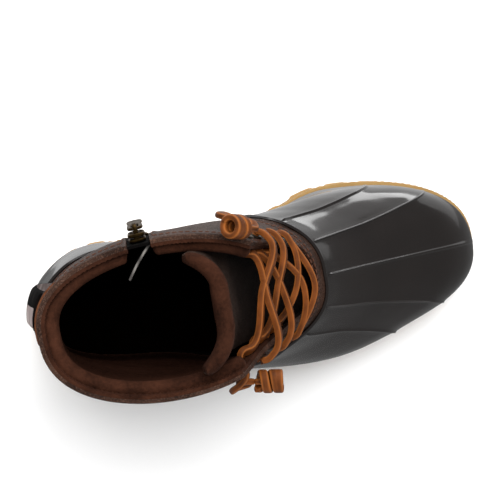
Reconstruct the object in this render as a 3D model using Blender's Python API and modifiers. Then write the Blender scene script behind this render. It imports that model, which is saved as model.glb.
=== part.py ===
# Duck boot for the right foot: a moulded rubber shell on a gum sole, with a leather shaft that
# laces in front and zips on the inner side. Metres, +Z up, +X to the toe, +Y to the inner side.
# The origin lies on the floor under the middle of the sole.
import math

import bmesh
import bpy
import numpy as np
from mathutils import Matrix, Vector

# Driving sizes, in metres and degrees
FORM_LENGTH = 0.280        # the form's stations are shares of this
BALL_HALF = 0.049          # half the width of the upper at the ball
COLLAR_RISE = 0.164        # from the top of the sole to the collar
SOLE_HEEL = 0.020          # height of the sole's top at the heel, middle and toe
SOLE_MIDDLE = 0.014
SOLE_TOE = 0.020
TOE_SPRING = 0.009
ARCH_RISE = 0.003
# How far the sole stands out round the upper, from the toe (0) by the inner side to the heel
# (180), and by the outer side below 0
WELT = {"angle": (-180, -90, 0, 15, 45, 70, 85, 100, 180),
        "out": (0.0004, 0.0004, 0.0016, 0.0018, 0.0014, 0.0040, 0.0030, 0.0006, 0.0004)}
WELT_THICKNESS = 0.0045
LUG_DEPTH = 0.0032
LUG_REACH = 0.011
LUG_COUNT = 36
LUG_BULGE = 0.0010
BAR_COUNT = 15
BAR_WIDTH = 0.008
CLEARANCE = 0.0003
TUCK_CLEARANCE = 0.0010     # between the shell and the leather inside it, past the chords of both
SHELL_WALL = 0.0026
SHELL_BEAD = 0.0010
RIB_HEIGHT = 0.0013
LEATHER_WALL = 0.0030
LEATHER_STEP = 0.0010      # how far the leather lies inside the form above the shell
TUCK = 0.07                # share of the form that the leather reaches down inside the shell
INSOLE_THICKNESS = 0.004
TONGUE_THICKNESS = 0.0060
TONGUE_CLEARANCE = 0.0020    # from the form less both walls, past the chords of the leather
TONGUE_SET_BACK = 0.024
EYELET_ROWS = 4
EYELET_BORE = 0.0023
EYELET_BARREL = 0.0030
EYELET_FLANGE = 0.0041
EYELET_FLANGE_THICKNESS = 0.0007
EYELET_SEAT = 0.00055      # from the leather to the flange, clear of the leather's curve
LACE_RADIUS = 0.0022
KNOT_RADIUS = 0.0060
KNOT_LENGTH = 0.014
ZIP_WIDTH = 0.0108
ZIP_TAPE_WIDTH = 0.0092
ZIP_TAPE_THICKNESS = 0.0012
ZIP_TEETH_WIDTH = 0.0052
ZIP_TEETH_THICKNESS = 0.0020
ZIP_TOOTH_PITCH = 0.0036
SLIDER_LENGTH = 0.0110
SLIDER_WIDTH = 0.0079
SLIDER_THICKNESS = 0.0042
BRIDGE_HEIGHT = 0.0042
BRIDGE_WIDTH = 0.0022
BRIDGE_WALL = 0.0012
PULL_LENGTH = 0.024
PULL_WIDTH = 0.0075
PULL_THICKNESS = 0.0015
PULL_WINDOW_WIDTH = 0.0036
PULL_WINDOW_LENGTH = 0.0085
BACK_DEG = 168.0
LOOP_WIDTH = 0.016
LOOP_LENGTH = 0.044
LOOP_STAND = 0.0061
LOOP_THICKNESS = 0.0016
LOOP_TOP = 0.955
BACKSTAY_WIDTH = 0.028
BACKSTAY_THICKNESS = 0.0012

# Closed level lines of the form, from the feather line to the collar. back and front are shares
# of the sole's length from the heel, rises are shares of the collar's rise above the sole's top,
# inner and outer are shares of the half ball width, and foot is how much of the foot's plan
# outline the line keeps, against the shaft's plain oval.
RINGS = {
    "back":       (0.030, 0.016, 0.016, 0.020, 0.022, 0.023, 0.029, 0.030, 0.031, 0.030, 0.026, 0.017, 0.002),
    "front":      (0.970, 0.960, 0.935, 0.890, 0.828, 0.757, 0.681, 0.607, 0.546, 0.502, 0.463, 0.432, 0.420),
    "rise_back":  (0.0, 0.061, 0.128, 0.201, 0.274, 0.348, 0.421, 0.500, 0.585, 0.677, 0.774, 0.872, 0.970),
    "rise_front": (0.0, 0.061, 0.119, 0.180, 0.235, 0.296, 0.366, 0.450, 0.540, 0.634, 0.738, 0.854, 0.976),
    "inner":      (0.890, 0.901, 0.891, 0.868, 0.839, 0.810, 0.790, 0.790, 0.806, 0.814, 0.802, 0.764, 0.701),
    "outer":      (0.930, 1.004, 1.023, 0.998, 0.945, 0.880, 0.820, 0.790, 0.752, 0.731, 0.734, 0.757, 0.797),
    "foot":       (1.00, 1.00, 1.00, 0.95, 0.85, 0.65, 0.45, 0.30, 0.18, 0.10, 0.05, 0.00, 0.00),
}
# Plan outline of the foot: stations from heel (-1) to toe (1), half widths as shares
FOOT_PLAN = {
    "station": (-1.00, -0.85, -0.50, -0.10, 0.35, 0.70, 1.00),
    "inner":   (1.26, 1.25, 0.91, 0.67, 1.06, 1.19, 1.27),
    "outer":   (0.96, 0.85, 0.76, 0.94, 1.06, 1.01, 1.05),
}
END_FULLNESS = 0.82        # below 1 makes the ends of each level line fuller than an ellipse
# Top line of the shell: degrees from the toe and share of the form
TOP_LINE = {"angle": (0, 30, 55, 80, 110, 145, 180), "share": (0.672, 0.660, 0.625, 0.500, 0.365, 0.430, 0.440)}
# Ribs of the shell: degrees from the toe at the sole and at the top line
RIBS = {"sole": (-58, -38, 0, 38, 58), "top": (-44, -21, 0, 21, 47)}
RIB_PROFILE = {"offset": (-2.2, -0.7, 0.7, 2.2), "height": (0.0, 1.0, 1.0, 0.0)}
# Front edges of the leather: the outer one hangs further open than the inner one
FACING = {"share": (0.70, 1.0), "inner": (18, 43), "outer": (18, 61)}
ZIP_LINE = {"share": (0.42, 1.0), "angle": (108, 98)}
EYELET_INSET_DEG = 8.5     # from the facing's edge to the eyelets
EYELET_SHARES = (0.780, 0.930)

ORANGE_GUM = (0.52, 0.33, 0.13)
SHELL_BROWN = (0.025, 0.017, 0.013)
LEATHER_BROWN = (0.085, 0.040, 0.025)
FLEECE_BROWN = (0.13, 0.05, 0.03)
LACE_TAN = (0.42, 0.16, 0.045)
BRASS = (0.35, 0.26, 0.13)
TAPE_BLACK = (0.015, 0.014, 0.014)
WEBBING_GREY = (0.55, 0.50, 0.49)


def smooth(x, y, q):
    # Piecewise cubic through the points (x, y) that never overshoots them
    x, y, q = np.asarray(x, float), np.asarray(y, float), np.asarray(q, float)
    step = np.diff(x)
    slope = np.diff(y) / step
    before, after = slope[:-1], slope[1:]
    total = np.where(before + after == 0, 1, before + after)
    grade = np.concatenate([slope[:1], np.where(before * after > 0, 2 * before * after / total, 0), slope[-1:]])
    i = np.clip(np.searchsorted(x, q) - 1, 0, len(x) - 2)
    s, h = (q - x[i]) / step[i], step[i]
    rise = (1 + 2 * s) * (1 - s) ** 2 * y[i] + s * s * (3 - 2 * s) * y[i + 1]
    return rise + s * (1 - s) ** 2 * h * grade[i] + s * s * (s - 1) * h * grade[i + 1]


def sole_top(station):
    # Height of the sole's top: station runs from the heel (-1) to the toe (1)
    line = SOLE_HEEL + (SOLE_TOE - SOLE_HEEL) * (1 + station) / 2
    return line - ((SOLE_HEEL + SOLE_TOE) / 2 - SOLE_MIDDLE) * (1 - station ** 2)


def foot_half(station, inner):
    # Half width of the foot's plan outline at a station, as a share of the half ball width
    width_in = smooth(FOOT_PLAN["station"], FOOT_PLAN["inner"], station)
    width_out = smooth(FOOT_PLAN["station"], FOOT_PLAN["outer"], station)
    return np.where(inner, width_in, width_out)


def form(angle, share):
    # The boot's outer form: angle in radians from the toe towards the inner side, share from the
    # feather line (0) to the collar (1). Above 1 it goes straight on upwards.
    angle, share = np.broadcast_arrays(np.asarray(angle, float), np.asarray(share, float))
    within = np.clip(share, 0, 1)
    levels = np.linspace(0, 1, len(RINGS["back"]))
    ring = {name: smooth(levels, values, within) for name, values in RINGS.items()}
    station, across = np.cos(angle), np.sin(angle)
    inner = across >= 0
    back, front = ring["back"] * FORM_LENGTH, ring["front"] * FORM_LENGTH
    x = (front + back) / 2 + (front - back) / 2 * station
    outline = ring["foot"] * foot_half(station, inner) + (1 - ring["foot"])
    half = np.where(inner, ring["inner"], ring["outer"]) * outline * BALL_HALF
    y = np.sign(across) * np.abs(across) ** END_FULLNESS * half
    rise = ring["rise_back"] + (ring["rise_front"] - ring["rise_back"]) * (1 + station) / 2
    settle = np.clip(1 - 2 * within, 0, 1)
    base = settle * sole_top(station) + (1 - settle) * (SOLE_HEEL + SOLE_TOE) / 2
    z = base + rise * COLLAR_RISE
    over = np.maximum(share - 1, 0) * COLLAR_RISE
    return np.stack([x + PLAN_SHIFT[0], y + PLAN_SHIFT[1], z + over], -1)


def normal(angle, share):
    # Outward normal of the form, from points a little to each side
    near = 0.03
    angle, share = np.broadcast_arrays(np.asarray(angle, float), np.asarray(share, float))
    high = np.clip(share, near, 1 - near)
    along = form(angle + near, high) - form(angle - near, high)
    up = form(angle, high + near) - form(angle, high - near)
    out = np.cross(along, up)
    return out / np.linalg.norm(out, axis=-1, keepdims=True)


def inset(angle, share, depth):
    # Points at a depth inside the form
    return form(angle, share) - normal(angle, share) * np.asarray(depth)[..., None]


def top_share(angle):
    # Share of the form at which the shell ends, at an angle in radians
    turned = np.abs((np.degrees(angle) + 180) % 360 - 180)
    return smooth(TOP_LINE["angle"], TOP_LINE["share"], turned)


PLAN_SHIFT = (0.0, 0.0)


def sole_outline(angles, out):
    # Plan of the feather line, moved outwards by a distance
    line = form(angles, 0 * angles)[:, :2]
    along = (form(angles + 0.02, 0 * angles) - form(angles - 0.02, 0 * angles))[:, :2]
    along /= np.linalg.norm(along, axis=1, keepdims=True)
    return line + np.reshape(out, (-1, 1)) * np.stack([along[:, 1], -along[:, 0]], -1)


def welt(angles):
    turned = (np.degrees(angles) + 180) % 360 - 180
    return smooth(WELT["angle"], WELT["out"], turned)


def plan_shift():
    # Brings the origin under the middle of the boot, from the sole's toe to the heel loop
    around = np.radians(np.arange(0, 360, 1.0))
    line = sole_outline(around, welt(around) + LUG_BULGE)
    shares, lift = loop_line()
    loop = strip_rows(LOOP_WIDTH, lift, LOOP_THICKNESS, shares)[0].reshape(-1, 3)
    flank = form(around[:, None], np.array([[0.08, 0.12, 0.16, 0.20]])).reshape(-1, 3)[:, :2]
    low, high = np.minimum(line.min(0), flank.min(0)), np.maximum(line.max(0), flank.max(0))
    return (-(min(low[0], loop[:, 0].min()) + high[0]) / 2, -(low[1] + high[1]) / 2)


def station_at(x):
    # Station along the sole, from the heel (-1) to the toe (1), of a place in the part's frame
    back, front = RINGS["back"][0] * FORM_LENGTH, RINGS["front"][0] * FORM_LENGTH
    return np.clip((x - PLAN_SHIFT[0] - (back + front) / 2) / ((front - back) / 2), -1, 1)


def clear_scene():
    for obj in list(bpy.data.objects):
        bpy.data.objects.remove(obj, do_unlink=True)


def material(name, colour, roughness, metallic=0.0):
    mat = bpy.data.materials.new(name)
    mat.use_nodes = True
    shader = mat.node_tree.nodes["Principled BSDF"]
    shader.inputs["Base Color"].default_value = (*colour, 1)
    shader.inputs["Roughness"].default_value = roughness
    shader.inputs["Metallic"].default_value = metallic
    return mat


def mesh_object(name, points, faces, mat, group, smooth_shade=True):
    mesh = bpy.data.meshes.new(name)
    mesh.from_pydata([tuple(p) for p in points], [], faces)
    mesh.update()
    obj = bpy.data.objects.new(name, mesh)
    group.objects.link(obj)
    if mat:
        mesh.materials.append(mat)
    if smooth_shade:
        mesh.shade_smooth()
        mesh.set_sharp_from_angle(angle=math.radians(40))
    return obj


def wall(name, outer, inner, mat, group, keep=None, closed=True):
    # A closed wall between two grids of points (rows, columns, 3) that match point for point.
    # Cells that keep leaves out are openings. closed joins the last column to the first.
    rows, cols = outer.shape[:2]
    spans = cols if closed else cols - 1
    if keep is None:
        keep = np.ones((rows - 1, spans), bool)
    count = rows * cols
    faces = []
    for r in range(rows - 1):
        for c in range(spans):
            if not keep[r, c]:
                continue
            d = (c + 1) % cols
            a, b, e, f = r * cols + c, r * cols + d, (r + 1) * cols + d, (r + 1) * cols + c
            faces.append((a, b, e, f))
            faces.append((f + count, e + count, b + count, a + count))
            left = keep[r, (c - 1) % spans] if (closed or c) else False
            right = keep[r, (c + 1) % spans] if (closed or c < spans - 1) else False
            if r == 0 or not keep[r - 1, c]:
                faces.append((b, a, a + count, b + count))
            if r == rows - 2 or not keep[r + 1, c]:
                faces.append((f, e, e + count, f + count))
            if not left:
                faces.append((a, f, f + count, a + count))
            if not right:
                faces.append((e, b, b + count, e + count))
    points = np.concatenate([outer.reshape(-1, 3), inner.reshape(-1, 3)])
    used = sorted({i for face in faces for i in face})
    order = {old: new for new, old in enumerate(used)}
    faces = [tuple(order[i] for i in face) for face in faces]
    return mesh_object(name, points[used], faces, mat, group)


def stack(name, rings, mat, group):
    # A closed solid lofted through rings of points, bottom to top. Rungs from side to side close
    # the first and last ring, whose points run from the toe round to the toe again.
    rings = [np.asarray(r) for r in rings]
    cols = len(rings[0])
    faces = []
    for r in range(len(rings) - 1):
        for c in range(cols):
            d = (c + 1) % cols
            faces.append((r * cols + c, r * cols + d, (r + 1) * cols + d, (r + 1) * cols + c))
    last = (len(rings) - 1) * cols
    for c in range(cols // 2 - 1):
        rung = (c, c + 1, cols - 2 - c, cols - 1 - c)
        faces.append(rung[::-1])
        faces.append(tuple(last + i for i in rung))
    return mesh_object(name, np.concatenate(rings), faces, mat, group)


def box_mesh(boxes):
    # One mesh of separate boxes: each is (size, matrix)
    made = bmesh.new()
    for size, place in boxes:
        new = bmesh.ops.create_cube(made, size=1.0)["verts"]
        bmesh.ops.transform(made, verts=new, matrix=place @ Matrix.Diagonal((*size, 1)))
    return made


def cylinders(places, radius, depth, sides):
    # One mesh of separate cylinders along the local Z of each matrix
    made = bmesh.new()
    for place in places:
        bmesh.ops.create_cone(made, cap_ends=True, segments=sides, radius1=radius, radius2=radius,
                              depth=depth, matrix=place)
    return made


def from_bmesh(name, made, mat, group, bevel=0.0):
    mesh = bpy.data.meshes.new(name)
    made.to_mesh(mesh)
    made.free()
    obj = bpy.data.objects.new(name, mesh)
    group.objects.link(obj)
    if mat:
        mesh.materials.append(mat)
    if bevel:
        rounding = obj.modifiers.new("Rounded edges", "BEVEL")
        rounding.width = bevel
        rounding.segments = 1
        rounding.limit_method = "ANGLE"
    return obj


def helper(obj):
    obj.hide_render = True
    obj.display_type = "WIRE"
    return obj


def boolean(obj, other, operation):
    step = obj.modifiers.new(operation.title(), "BOOLEAN")
    step.operation = operation
    step.object = helper(other)


def tube(name, points, radius, mat, group):
    # A curve with a round bevel and filled caps, on a straight-sided spline
    data = bpy.data.curves.new(name, "CURVE")
    data.dimensions = "3D"
    data.bevel_depth = radius
    data.bevel_resolution = 2
    data.use_fill_caps = True
    spline = data.splines.new("POLY")
    spline.points.add(len(points) - 1)
    for knot, point in zip(spline.points, points):
        knot.co = (*point, 1)
    obj = bpy.data.objects.new(name, data)
    group.objects.link(obj)
    if mat:
        data.materials.append(mat)
    return obj


def curve_to_mesh(obj):
    # Turns a tube into a welded mesh object of the same name, so that it can be joined
    graph = bpy.context.evaluated_depsgraph_get()
    mesh = bpy.data.meshes.new_from_object(obj.evaluated_get(graph))
    welded = bmesh.new()
    welded.from_mesh(mesh)
    bmesh.ops.remove_doubles(welded, verts=welded.verts, dist=1e-5)
    welded.to_mesh(mesh)
    welded.free()
    name, group = obj.name, obj.users_collection[0]
    bpy.data.objects.remove(obj)
    made = bpy.data.objects.new(name, mesh)
    group.objects.link(made)
    return made


def through(points, count):
    # Evenly spread points on a smooth curve through the given ones
    points = np.asarray(points, float)
    knots = np.concatenate([[0], np.cumsum(np.linalg.norm(np.diff(points, axis=0), axis=1))])
    slope = np.gradient(points, knots, axis=0)
    fine = np.linspace(0, knots[-1], count)
    i = np.clip(np.searchsorted(knots, fine) - 1, 0, len(knots) - 2)
    h = (knots[i + 1] - knots[i])[:, None]
    s = (fine - knots[i])[:, None] / h
    line = (1 + 2 * s) * (1 - s) ** 2 * points[i] + s * s * (3 - 2 * s) * points[i + 1]
    return line + s * (1 - s) ** 2 * h * slope[i] + s * s * (s - 1) * h * slope[i + 1]


def shell_angles():
    # Column angles of the shell at the sole and at the top line, with the ribs' own columns
    plain = [-176, -164, -152, -140, -128, -116, -104, -92, -80, -68, -48, -28, -19, -9,
             9, 19, 28, 48, 68, 80, 92, 104, 116, 128, 140, 152, 164, 176]
    columns = [(angle, 0.0) for angle in plain]
    for rib in RIBS["sole"]:
        columns += [(rib + off, high) for off, high in zip(RIB_PROFILE["offset"], RIB_PROFILE["height"])]
    columns.sort()
    sole = np.array([c[0] for c in columns])
    crest = np.array([c[1] for c in columns])
    anchors_sole = (-180, -90, *RIBS["sole"], 90, 180)
    anchors_top = (-180, -86, *RIBS["top"], 86, 180)
    return np.radians(sole), np.radians(np.interp(sole, anchors_sole, anchors_top)), crest


def build_shell(mats, group):
    at_sole, at_top, crest = shell_angles()
    steps = np.array([0, 0.05, 0.12, 0.22, 0.34, 0.47, 0.60, 0.72, 0.83, 0.92, 0.955, 1.0])
    climb = steps[:, None]
    angles = at_sole + (at_top - at_sole) * climb
    shares = top_share(at_top) * climb
    points = form(angles, shares)
    out = normal(angles, shares)
    fade = np.clip(np.minimum(climb / 0.12, (1 - climb) / 0.08), 0, 1)
    bead = np.where(climb > 0.94, SHELL_BEAD, 0.0)
    outer = points + out * (crest * RIB_HEIGHT * fade + bead)[..., None]
    inner = points - out * SHELL_WALL
    for grid in (outer, inner):
        grid[0, :, 2] = sole_top(np.cos(at_sole)) + CLEARANCE
    return wall("rubber_shell", outer, inner, mats["shell"], group)


def facing_edge(share, inner):
    # Degrees from the toe to the leather's front edge, on the inner or the outer side
    return np.where(inner, np.interp(share, FACING["share"], FACING["inner"]),
                    np.interp(share, FACING["share"], FACING["outer"]))


def shaft_angle(column, share):
    # Angle in radians of a shaft column: column 30 follows the facing, and 100 and 112 the edges
    # of the zip's slot
    facing = facing_edge(share, np.asarray(column) >= 0)
    zip_line = np.interp(share, ZIP_LINE["share"], ZIP_LINE["angle"])
    before, after = zip_line - zip_half_degrees(share), zip_line + zip_half_degrees(share)
    size, side = np.abs(column), np.sign(column)
    front = size / 30 * facing
    middle = facing + (size - 30) / 70 * (before - facing)
    slot = before + (size - 100) / 12 * (after - before)
    back = after + (size - 112) / 68 * (180 - after)
    rest = np.where(size < 100, middle, np.where(size < 112, slot, back))
    return np.radians(side * np.where(size < 30, front, rest))


def leather_depth(angle, share):
    # The leather runs inside the shell, and above it comes out to nearly the form
    above = np.clip((share - top_share(angle) - 0.03) / 0.09, 0, 1)
    blend = above * above * (3 - 2 * above)
    return (SHELL_WALL + TUCK_CLEARANCE) * (1 - blend) + LEATHER_STEP * blend


def leather_point(angle, share, lift):
    # A point at a height above the leather's outer face, with the direction out of it
    angle, share = np.asarray(angle, float), np.asarray(share, float)
    out = normal(angle, share)
    return form(angle, share) + out * (lift - leather_depth(angle, share))[..., None], out


def zip_half_degrees(share):
    # Half the zip slot in degrees, from its width and the form's girth at each share
    share = np.asarray(share, float)
    line, level = np.interp(share, ZIP_LINE["share"], ZIP_LINE["angle"]), np.minimum(share, 0.98)
    span = form(np.radians(line + 1), level) - form(np.radians(line - 1), level)
    return ZIP_WIDTH / np.linalg.norm(span, axis=-1)


def shaft_grid(columns, steps):
    columns, steps = np.asarray(columns, float), np.asarray(steps, float)[:, None]
    foot = top_share(shaft_angle(columns, 0.6)) - TUCK
    shares = foot + (1 - foot) * steps
    throat, bottom = FACING["share"][0], ZIP_LINE["share"][0]
    row = THROAT_ROW
    near_front = np.abs(columns) < 46
    fitted = np.interp(np.arange(len(steps)), (0, row, len(steps) - 1), (0, 1, 2))[:, None]
    front = np.where(fitted < 1, foot + (throat - foot) * fitted, throat + (1 - throat) * (fitted - 1))
    shares = np.where(near_front, front, shares)
    zip_row = ZIP_ROW
    by_zip = np.abs(columns - 106) < 14
    fitted = np.interp(np.arange(len(steps)), (0, zip_row, len(steps) - 1), (0, 1, 2))[:, None]
    side = np.where(fitted < 1, foot + (bottom - foot) * fitted, bottom + (1 - bottom) * (fitted - 1))
    shares = np.where(by_zip, side, shares)
    return shaft_angle(columns, shares), shares


THROAT_ROW = 4
ZIP_ROW = 2


def eyelet_places():
    # Centre, outward direction and name of each eyelet, bottom to top on each side
    places = []
    for side, sign in (("inner", 1), ("outer", -1)):
        for row, share in enumerate(np.linspace(*EYELET_SHARES, EYELET_ROWS)):
            edge = float(facing_edge(share, sign > 0))
            point, out = leather_point(math.radians(sign * (edge + EYELET_INSET_DEG)), share, 0.0)
            places.append((side, row + 1, Vector(point), Vector(out)))
    return places


def facing_matrix(point, out):
    # Local Z points out of the surface
    return Matrix.Translation(point) @ out.to_track_quat("Z", "Y").to_matrix().to_4x4()


def build_shaft(mats, group, cutters):
    columns = [-172, -158, -144, -130, -118, -106, -94, -82, -70, -58, -46, -38, -30, -20, -10, 0,
               10, 20, 30, 38, 46, 58, 70, 82, 92, 100, 112, 120, 132, 146, 158, 172]
    steps = np.linspace(0, 1, 12)
    angles, shares = shaft_grid(columns, steps)
    out = normal(angles, shares)
    depth = leather_depth(angles, shares)[..., None]
    outer = form(angles, shares) - out * depth
    inner = outer - out * LEATHER_WALL
    keep = np.ones((len(steps) - 1, len(columns)), bool)
    for c, column in enumerate(columns):
        if -30 <= column < 30:
            keep[THROAT_ROW:, c] = False
        if column == 100:
            keep[ZIP_ROW:, c] = False
    shaft = wall("leather_shaft", outer, inner, mats["leather"], group, keep)
    holes = [facing_matrix(point, out) for _, _, point, out in eyelet_places()]
    cutter = from_bmesh("eyelet_holes", cylinders(holes, EYELET_BARREL + CLEARANCE, 0.016, 12), None, cutters)
    boolean(shaft, cutter, "DIFFERENCE")
    return shaft


def build_eyelets(mats, group):
    # Each eyelet is a turned ring: a flange over the leather and a barrel through it
    bore, barrel, flange = EYELET_BORE, EYELET_BARREL, EYELET_FLANGE
    top = EYELET_SEAT + EYELET_FLANGE_THICKNESS
    foot = -LEATHER_WALL + 0.0004
    profile = [(bore, top), (flange, top), (flange, EYELET_SEAT), (barrel, EYELET_SEAT), (barrel, foot), (bore, foot)]
    sides = 10
    for side, row, point, out in eyelet_places():
        made = bmesh.new()
        loops = []
        for k in range(sides):
            turn = 2 * math.pi * k / sides
            loops.append([made.verts.new((r * math.cos(turn), r * math.sin(turn), z)) for r, z in profile])
        for k in range(sides):
            here, following = loops[k], loops[(k + 1) % sides]
            for j in range(len(profile)):
                m = (j + 1) % len(profile)
                made.faces.new((here[j], here[m], following[m], following[j]))
        bmesh.ops.recalc_face_normals(made, faces=made.faces)
        ring = from_bmesh(f"eyelet_{side}_{row}", made, mats["brass"], group)
        ring.matrix_world = facing_matrix(point, out)


def build_outsole(mats, group, cutters):
    # Around the edge the sole is cut into lugs: each lug has two columns and each notch one
    turn = 2 * math.pi / LUG_COUNT
    angles, is_lug = [], []
    for k in range(LUG_COUNT):
        for off, lug in ((0.06, 1), (0.66, 1), (0.86, 0)):
            angles.append(k * turn + off * turn)
            is_lug.append(lug)
    angles, is_lug = np.array(angles), np.array(is_lug, float)
    station = np.cos(angles)
    top = sole_top(station)
    ground = ground_line(station)

    def ring(out, height):
        line = sole_outline(angles, out)
        return np.column_stack([line, height])

    notch = ground + LUG_DEPTH * (1 - is_lug)
    under = ground + LUG_DEPTH
    low_side = np.minimum(under + 0.001, top - WELT_THICKNESS - 0.001)
    waist = np.minimum(low_side + 0.0008, top - WELT_THICKNESS)
    edge = welt(angles)
    bulge = edge + LUG_BULGE * is_lug
    rings = [
        ring(-LUG_REACH - 0.001, under),
        ring(-LUG_REACH, notch),
        ring(bulge, notch),
        ring(bulge, low_side),
        ring(edge - 0.0014, waist),
        ring(edge - 0.0014, top - WELT_THICKNESS),
        ring(edge, top - WELT_THICKNESS + 0.0004),
        ring(edge, top),
    ]
    keel = middle_rings(under, top, angles)
    sole = stack("outsole", [*keel[0], *rings, *keel[1]], mats["gum"], group)
    boolean(sole, tread_bars(cutters), "UNION")
    return sole


def ground_line(station):
    # Height of the tread: flat under heel and ball, with an arch between and a sprung toe
    x = (station + 1) / 2
    arch = ARCH_RISE * smooth((0, 0.28, 0.42, 0.56, 1), (0, 0, 1, 0, 0), x)
    spring = TOE_SPRING * smooth((0, 0.78, 0.90, 1), (0, 0, 0.35, 1), x)
    return arch + spring


def middle_rings(under, top, angles):
    # Rings that close the sole's bottom and top, shrinking towards its middle line
    inner_line = sole_outline(angles, -LUG_REACH - 0.001)
    x = inner_line[:, 0]
    squeezed = []
    for share in (0.6, 0.2):
        line = np.column_stack([x * (1 - 0.02 * (1 - share)), inner_line[:, 1] * share])
        squeezed.append(line)
    bottom, cover = [], []
    for line in squeezed:
        station = station_at(line[:, 0])
        bottom.append(np.column_stack([line, ground_line(station) + LUG_DEPTH]))
        cover.append(np.column_stack([line, sole_top(station)]))
    return bottom[::-1], cover


def tread_bars(cutters):
    # Cross bars of the tread's middle, each level with the ground line at its own place
    boxes = []
    inner = sole_outline(np.radians(np.arange(0, 360, 2.0)), -LUG_REACH - 0.003)
    for x in np.linspace(inner[:, 0].min() + BAR_WIDTH, inner[:, 0].max() - BAR_WIDTH, BAR_COUNT):
        near = inner[np.abs(inner[:, 0] - x) < BAR_WIDTH * 0.75]
        low, high = near[near[:, 1] < 0][:, 1].max(), near[near[:, 1] > 0][:, 1].min()
        ground = float(ground_line(station_at(x)))
        depth = LUG_DEPTH + 0.002
        place = Matrix.Translation((x, (low + high) / 2, ground + depth / 2))
        boxes.append(((BAR_WIDTH, high - low, depth), place))
    return from_bmesh("tread_bars", box_mesh(boxes), None, cutters)


def build_insole(mats, group):
    around = np.radians(np.arange(-175, 185, 10.0))
    station = np.cos(around)
    margin = -(SHELL_WALL + LEATHER_WALL + 2.5 * CLEARANCE)
    low, high = sole_outline(around, margin), sole_outline(around, margin - 0.001)
    bottom = sole_top(station) + CLEARANCE
    rings = [
        np.column_stack([low * (1, 0.4), bottom]),
        np.column_stack([low, bottom]),
        np.column_stack([high, bottom + INSOLE_THICKNESS]),
        np.column_stack([high * (1, 0.4), bottom + INSOLE_THICKNESS]),
    ]
    return stack("insole", rings, mats["fleece"], group)


def tongue_surface(angle, share, depth):
    # The tongue hangs back from the laces in the middle and lies against the shaft at its sides
    across = np.degrees(angle) / np.interp(share, *TONGUE_SPREAD)
    sag = smooth((0.58, 0.66, 0.80, 1.08), (0.0, 0.2, 0.95, 1.0), share)
    back = TONGUE_SET_BACK * sag * (1 - across ** 2)
    points = inset(angle, share, SHELL_WALL + LEATHER_WALL + TONGUE_CLEARANCE + depth)
    points[..., 0] -= back
    return points


TONGUE_SPREAD = ((0.58, 0.70, 1.0), (34, 52, 79))


def build_tongue(mats, group):
    shares = np.array([0.585, 0.62, 0.66, 0.71, 0.77, 0.83, 0.90, 0.97, 1.04, 1.055])[:, None]
    across = np.linspace(-1, 1, 13)
    angles = np.radians(across * np.interp(shares, *TONGUE_SPREAD))
    shares = np.broadcast_to(shares, angles.shape)
    thin = np.where((np.arange(10) == 9)[:, None], TONGUE_THICKNESS * 0.25, 0.0)
    front = tongue_surface(angles, shares, thin + 0 * angles)
    back = tongue_surface(angles, shares, TONGUE_THICKNESS - thin + 0 * angles)
    return wall("tongue", front, back, mats["leather"], group, closed=False)


def lace_route(first, second, layer):
    # From one eyelet over both facing edges to another, with a slack bow in the middle. Each
    # layer bows a little further out than the one before and ends beside it on the eyelet.
    lift = EYELET_SEAT + EYELET_FLANGE_THICKNESS + 2.5 * CLEARANCE + LACE_RADIUS
    ends = []
    for side, row in (first, second):
        share = float(np.linspace(*EYELET_SHARES, EYELET_ROWS)[row - 1])
        edge = float(facing_edge(share, side > 0))
        over = share + (layer - 1) * 0.006
        reach = EYELET_INSET_DEG - layer if row < EYELET_ROWS else TOP_ROW_REACH
        eye = leather_point(math.radians(side * (edge + reach)), over, lift)[0]
        lip = leather_point(math.radians(side * edge), over, lift)[0]
        ends.append((eye, lip))
    middle = (ends[0][1] + ends[1][1]) / 2 + np.array(LACE_BOW) * (1 + 0.2 * layer)
    return through([ends[0][0], ends[0][1], middle, ends[1][1], ends[1][0]], 9)


LACE_BOW = (0.0075, 0.0, 0.0030)
TOP_ROW_REACH = 2.0        # degrees past the facing's edge, clear of the lace end's knot


def build_laces(mats, group, cutters):
    # A bar through the lowest eyelets, then crossings between each pair of rows, all one solid
    runs = [((1, 1), (-1, 1), 0)]
    for row in range(1, EYELET_ROWS):
        runs += [((1, row), (-1, row + 1), 1), ((-1, row), (1, row + 1), 2)]
    laces = None
    for k, run in enumerate(runs):
        name = "lace_crossings" if k == 0 else f"lace_run_{k}"
        run = tube(name, lace_route(*run), LACE_RADIUS, None, group if k == 0 else cutters)
        run = curve_to_mesh(run)
        if k == 0:
            laces = run
            laces.data.materials.append(mats["lace"])
        else:
            boolean(laces, run, "UNION")
    return laces


def knot_places():
    # Middle and axis of the barrel knot on each lace end, which lies beside the shaft
    places = {}
    for side, knot in KNOTS.items():
        middle, _ = leather_point(math.radians(knot["degrees"]), knot["share"], knot["lift"])
        places[side] = (Vector(middle), Vector(knot["axis"]).normalized())
    return places


# The lace comes in at the end of the barrel that the axis points away from
KNOTS = {
    "inner": {"degrees": 54, "share": 1.040, "lift": 0.0045, "axis": (-0.70, 0.12, 0.70)},
    "outer": {"degrees": -54, "share": 0.895, "lift": 0.0120, "axis": (0.95, -0.15, 0.25)},
}


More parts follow.
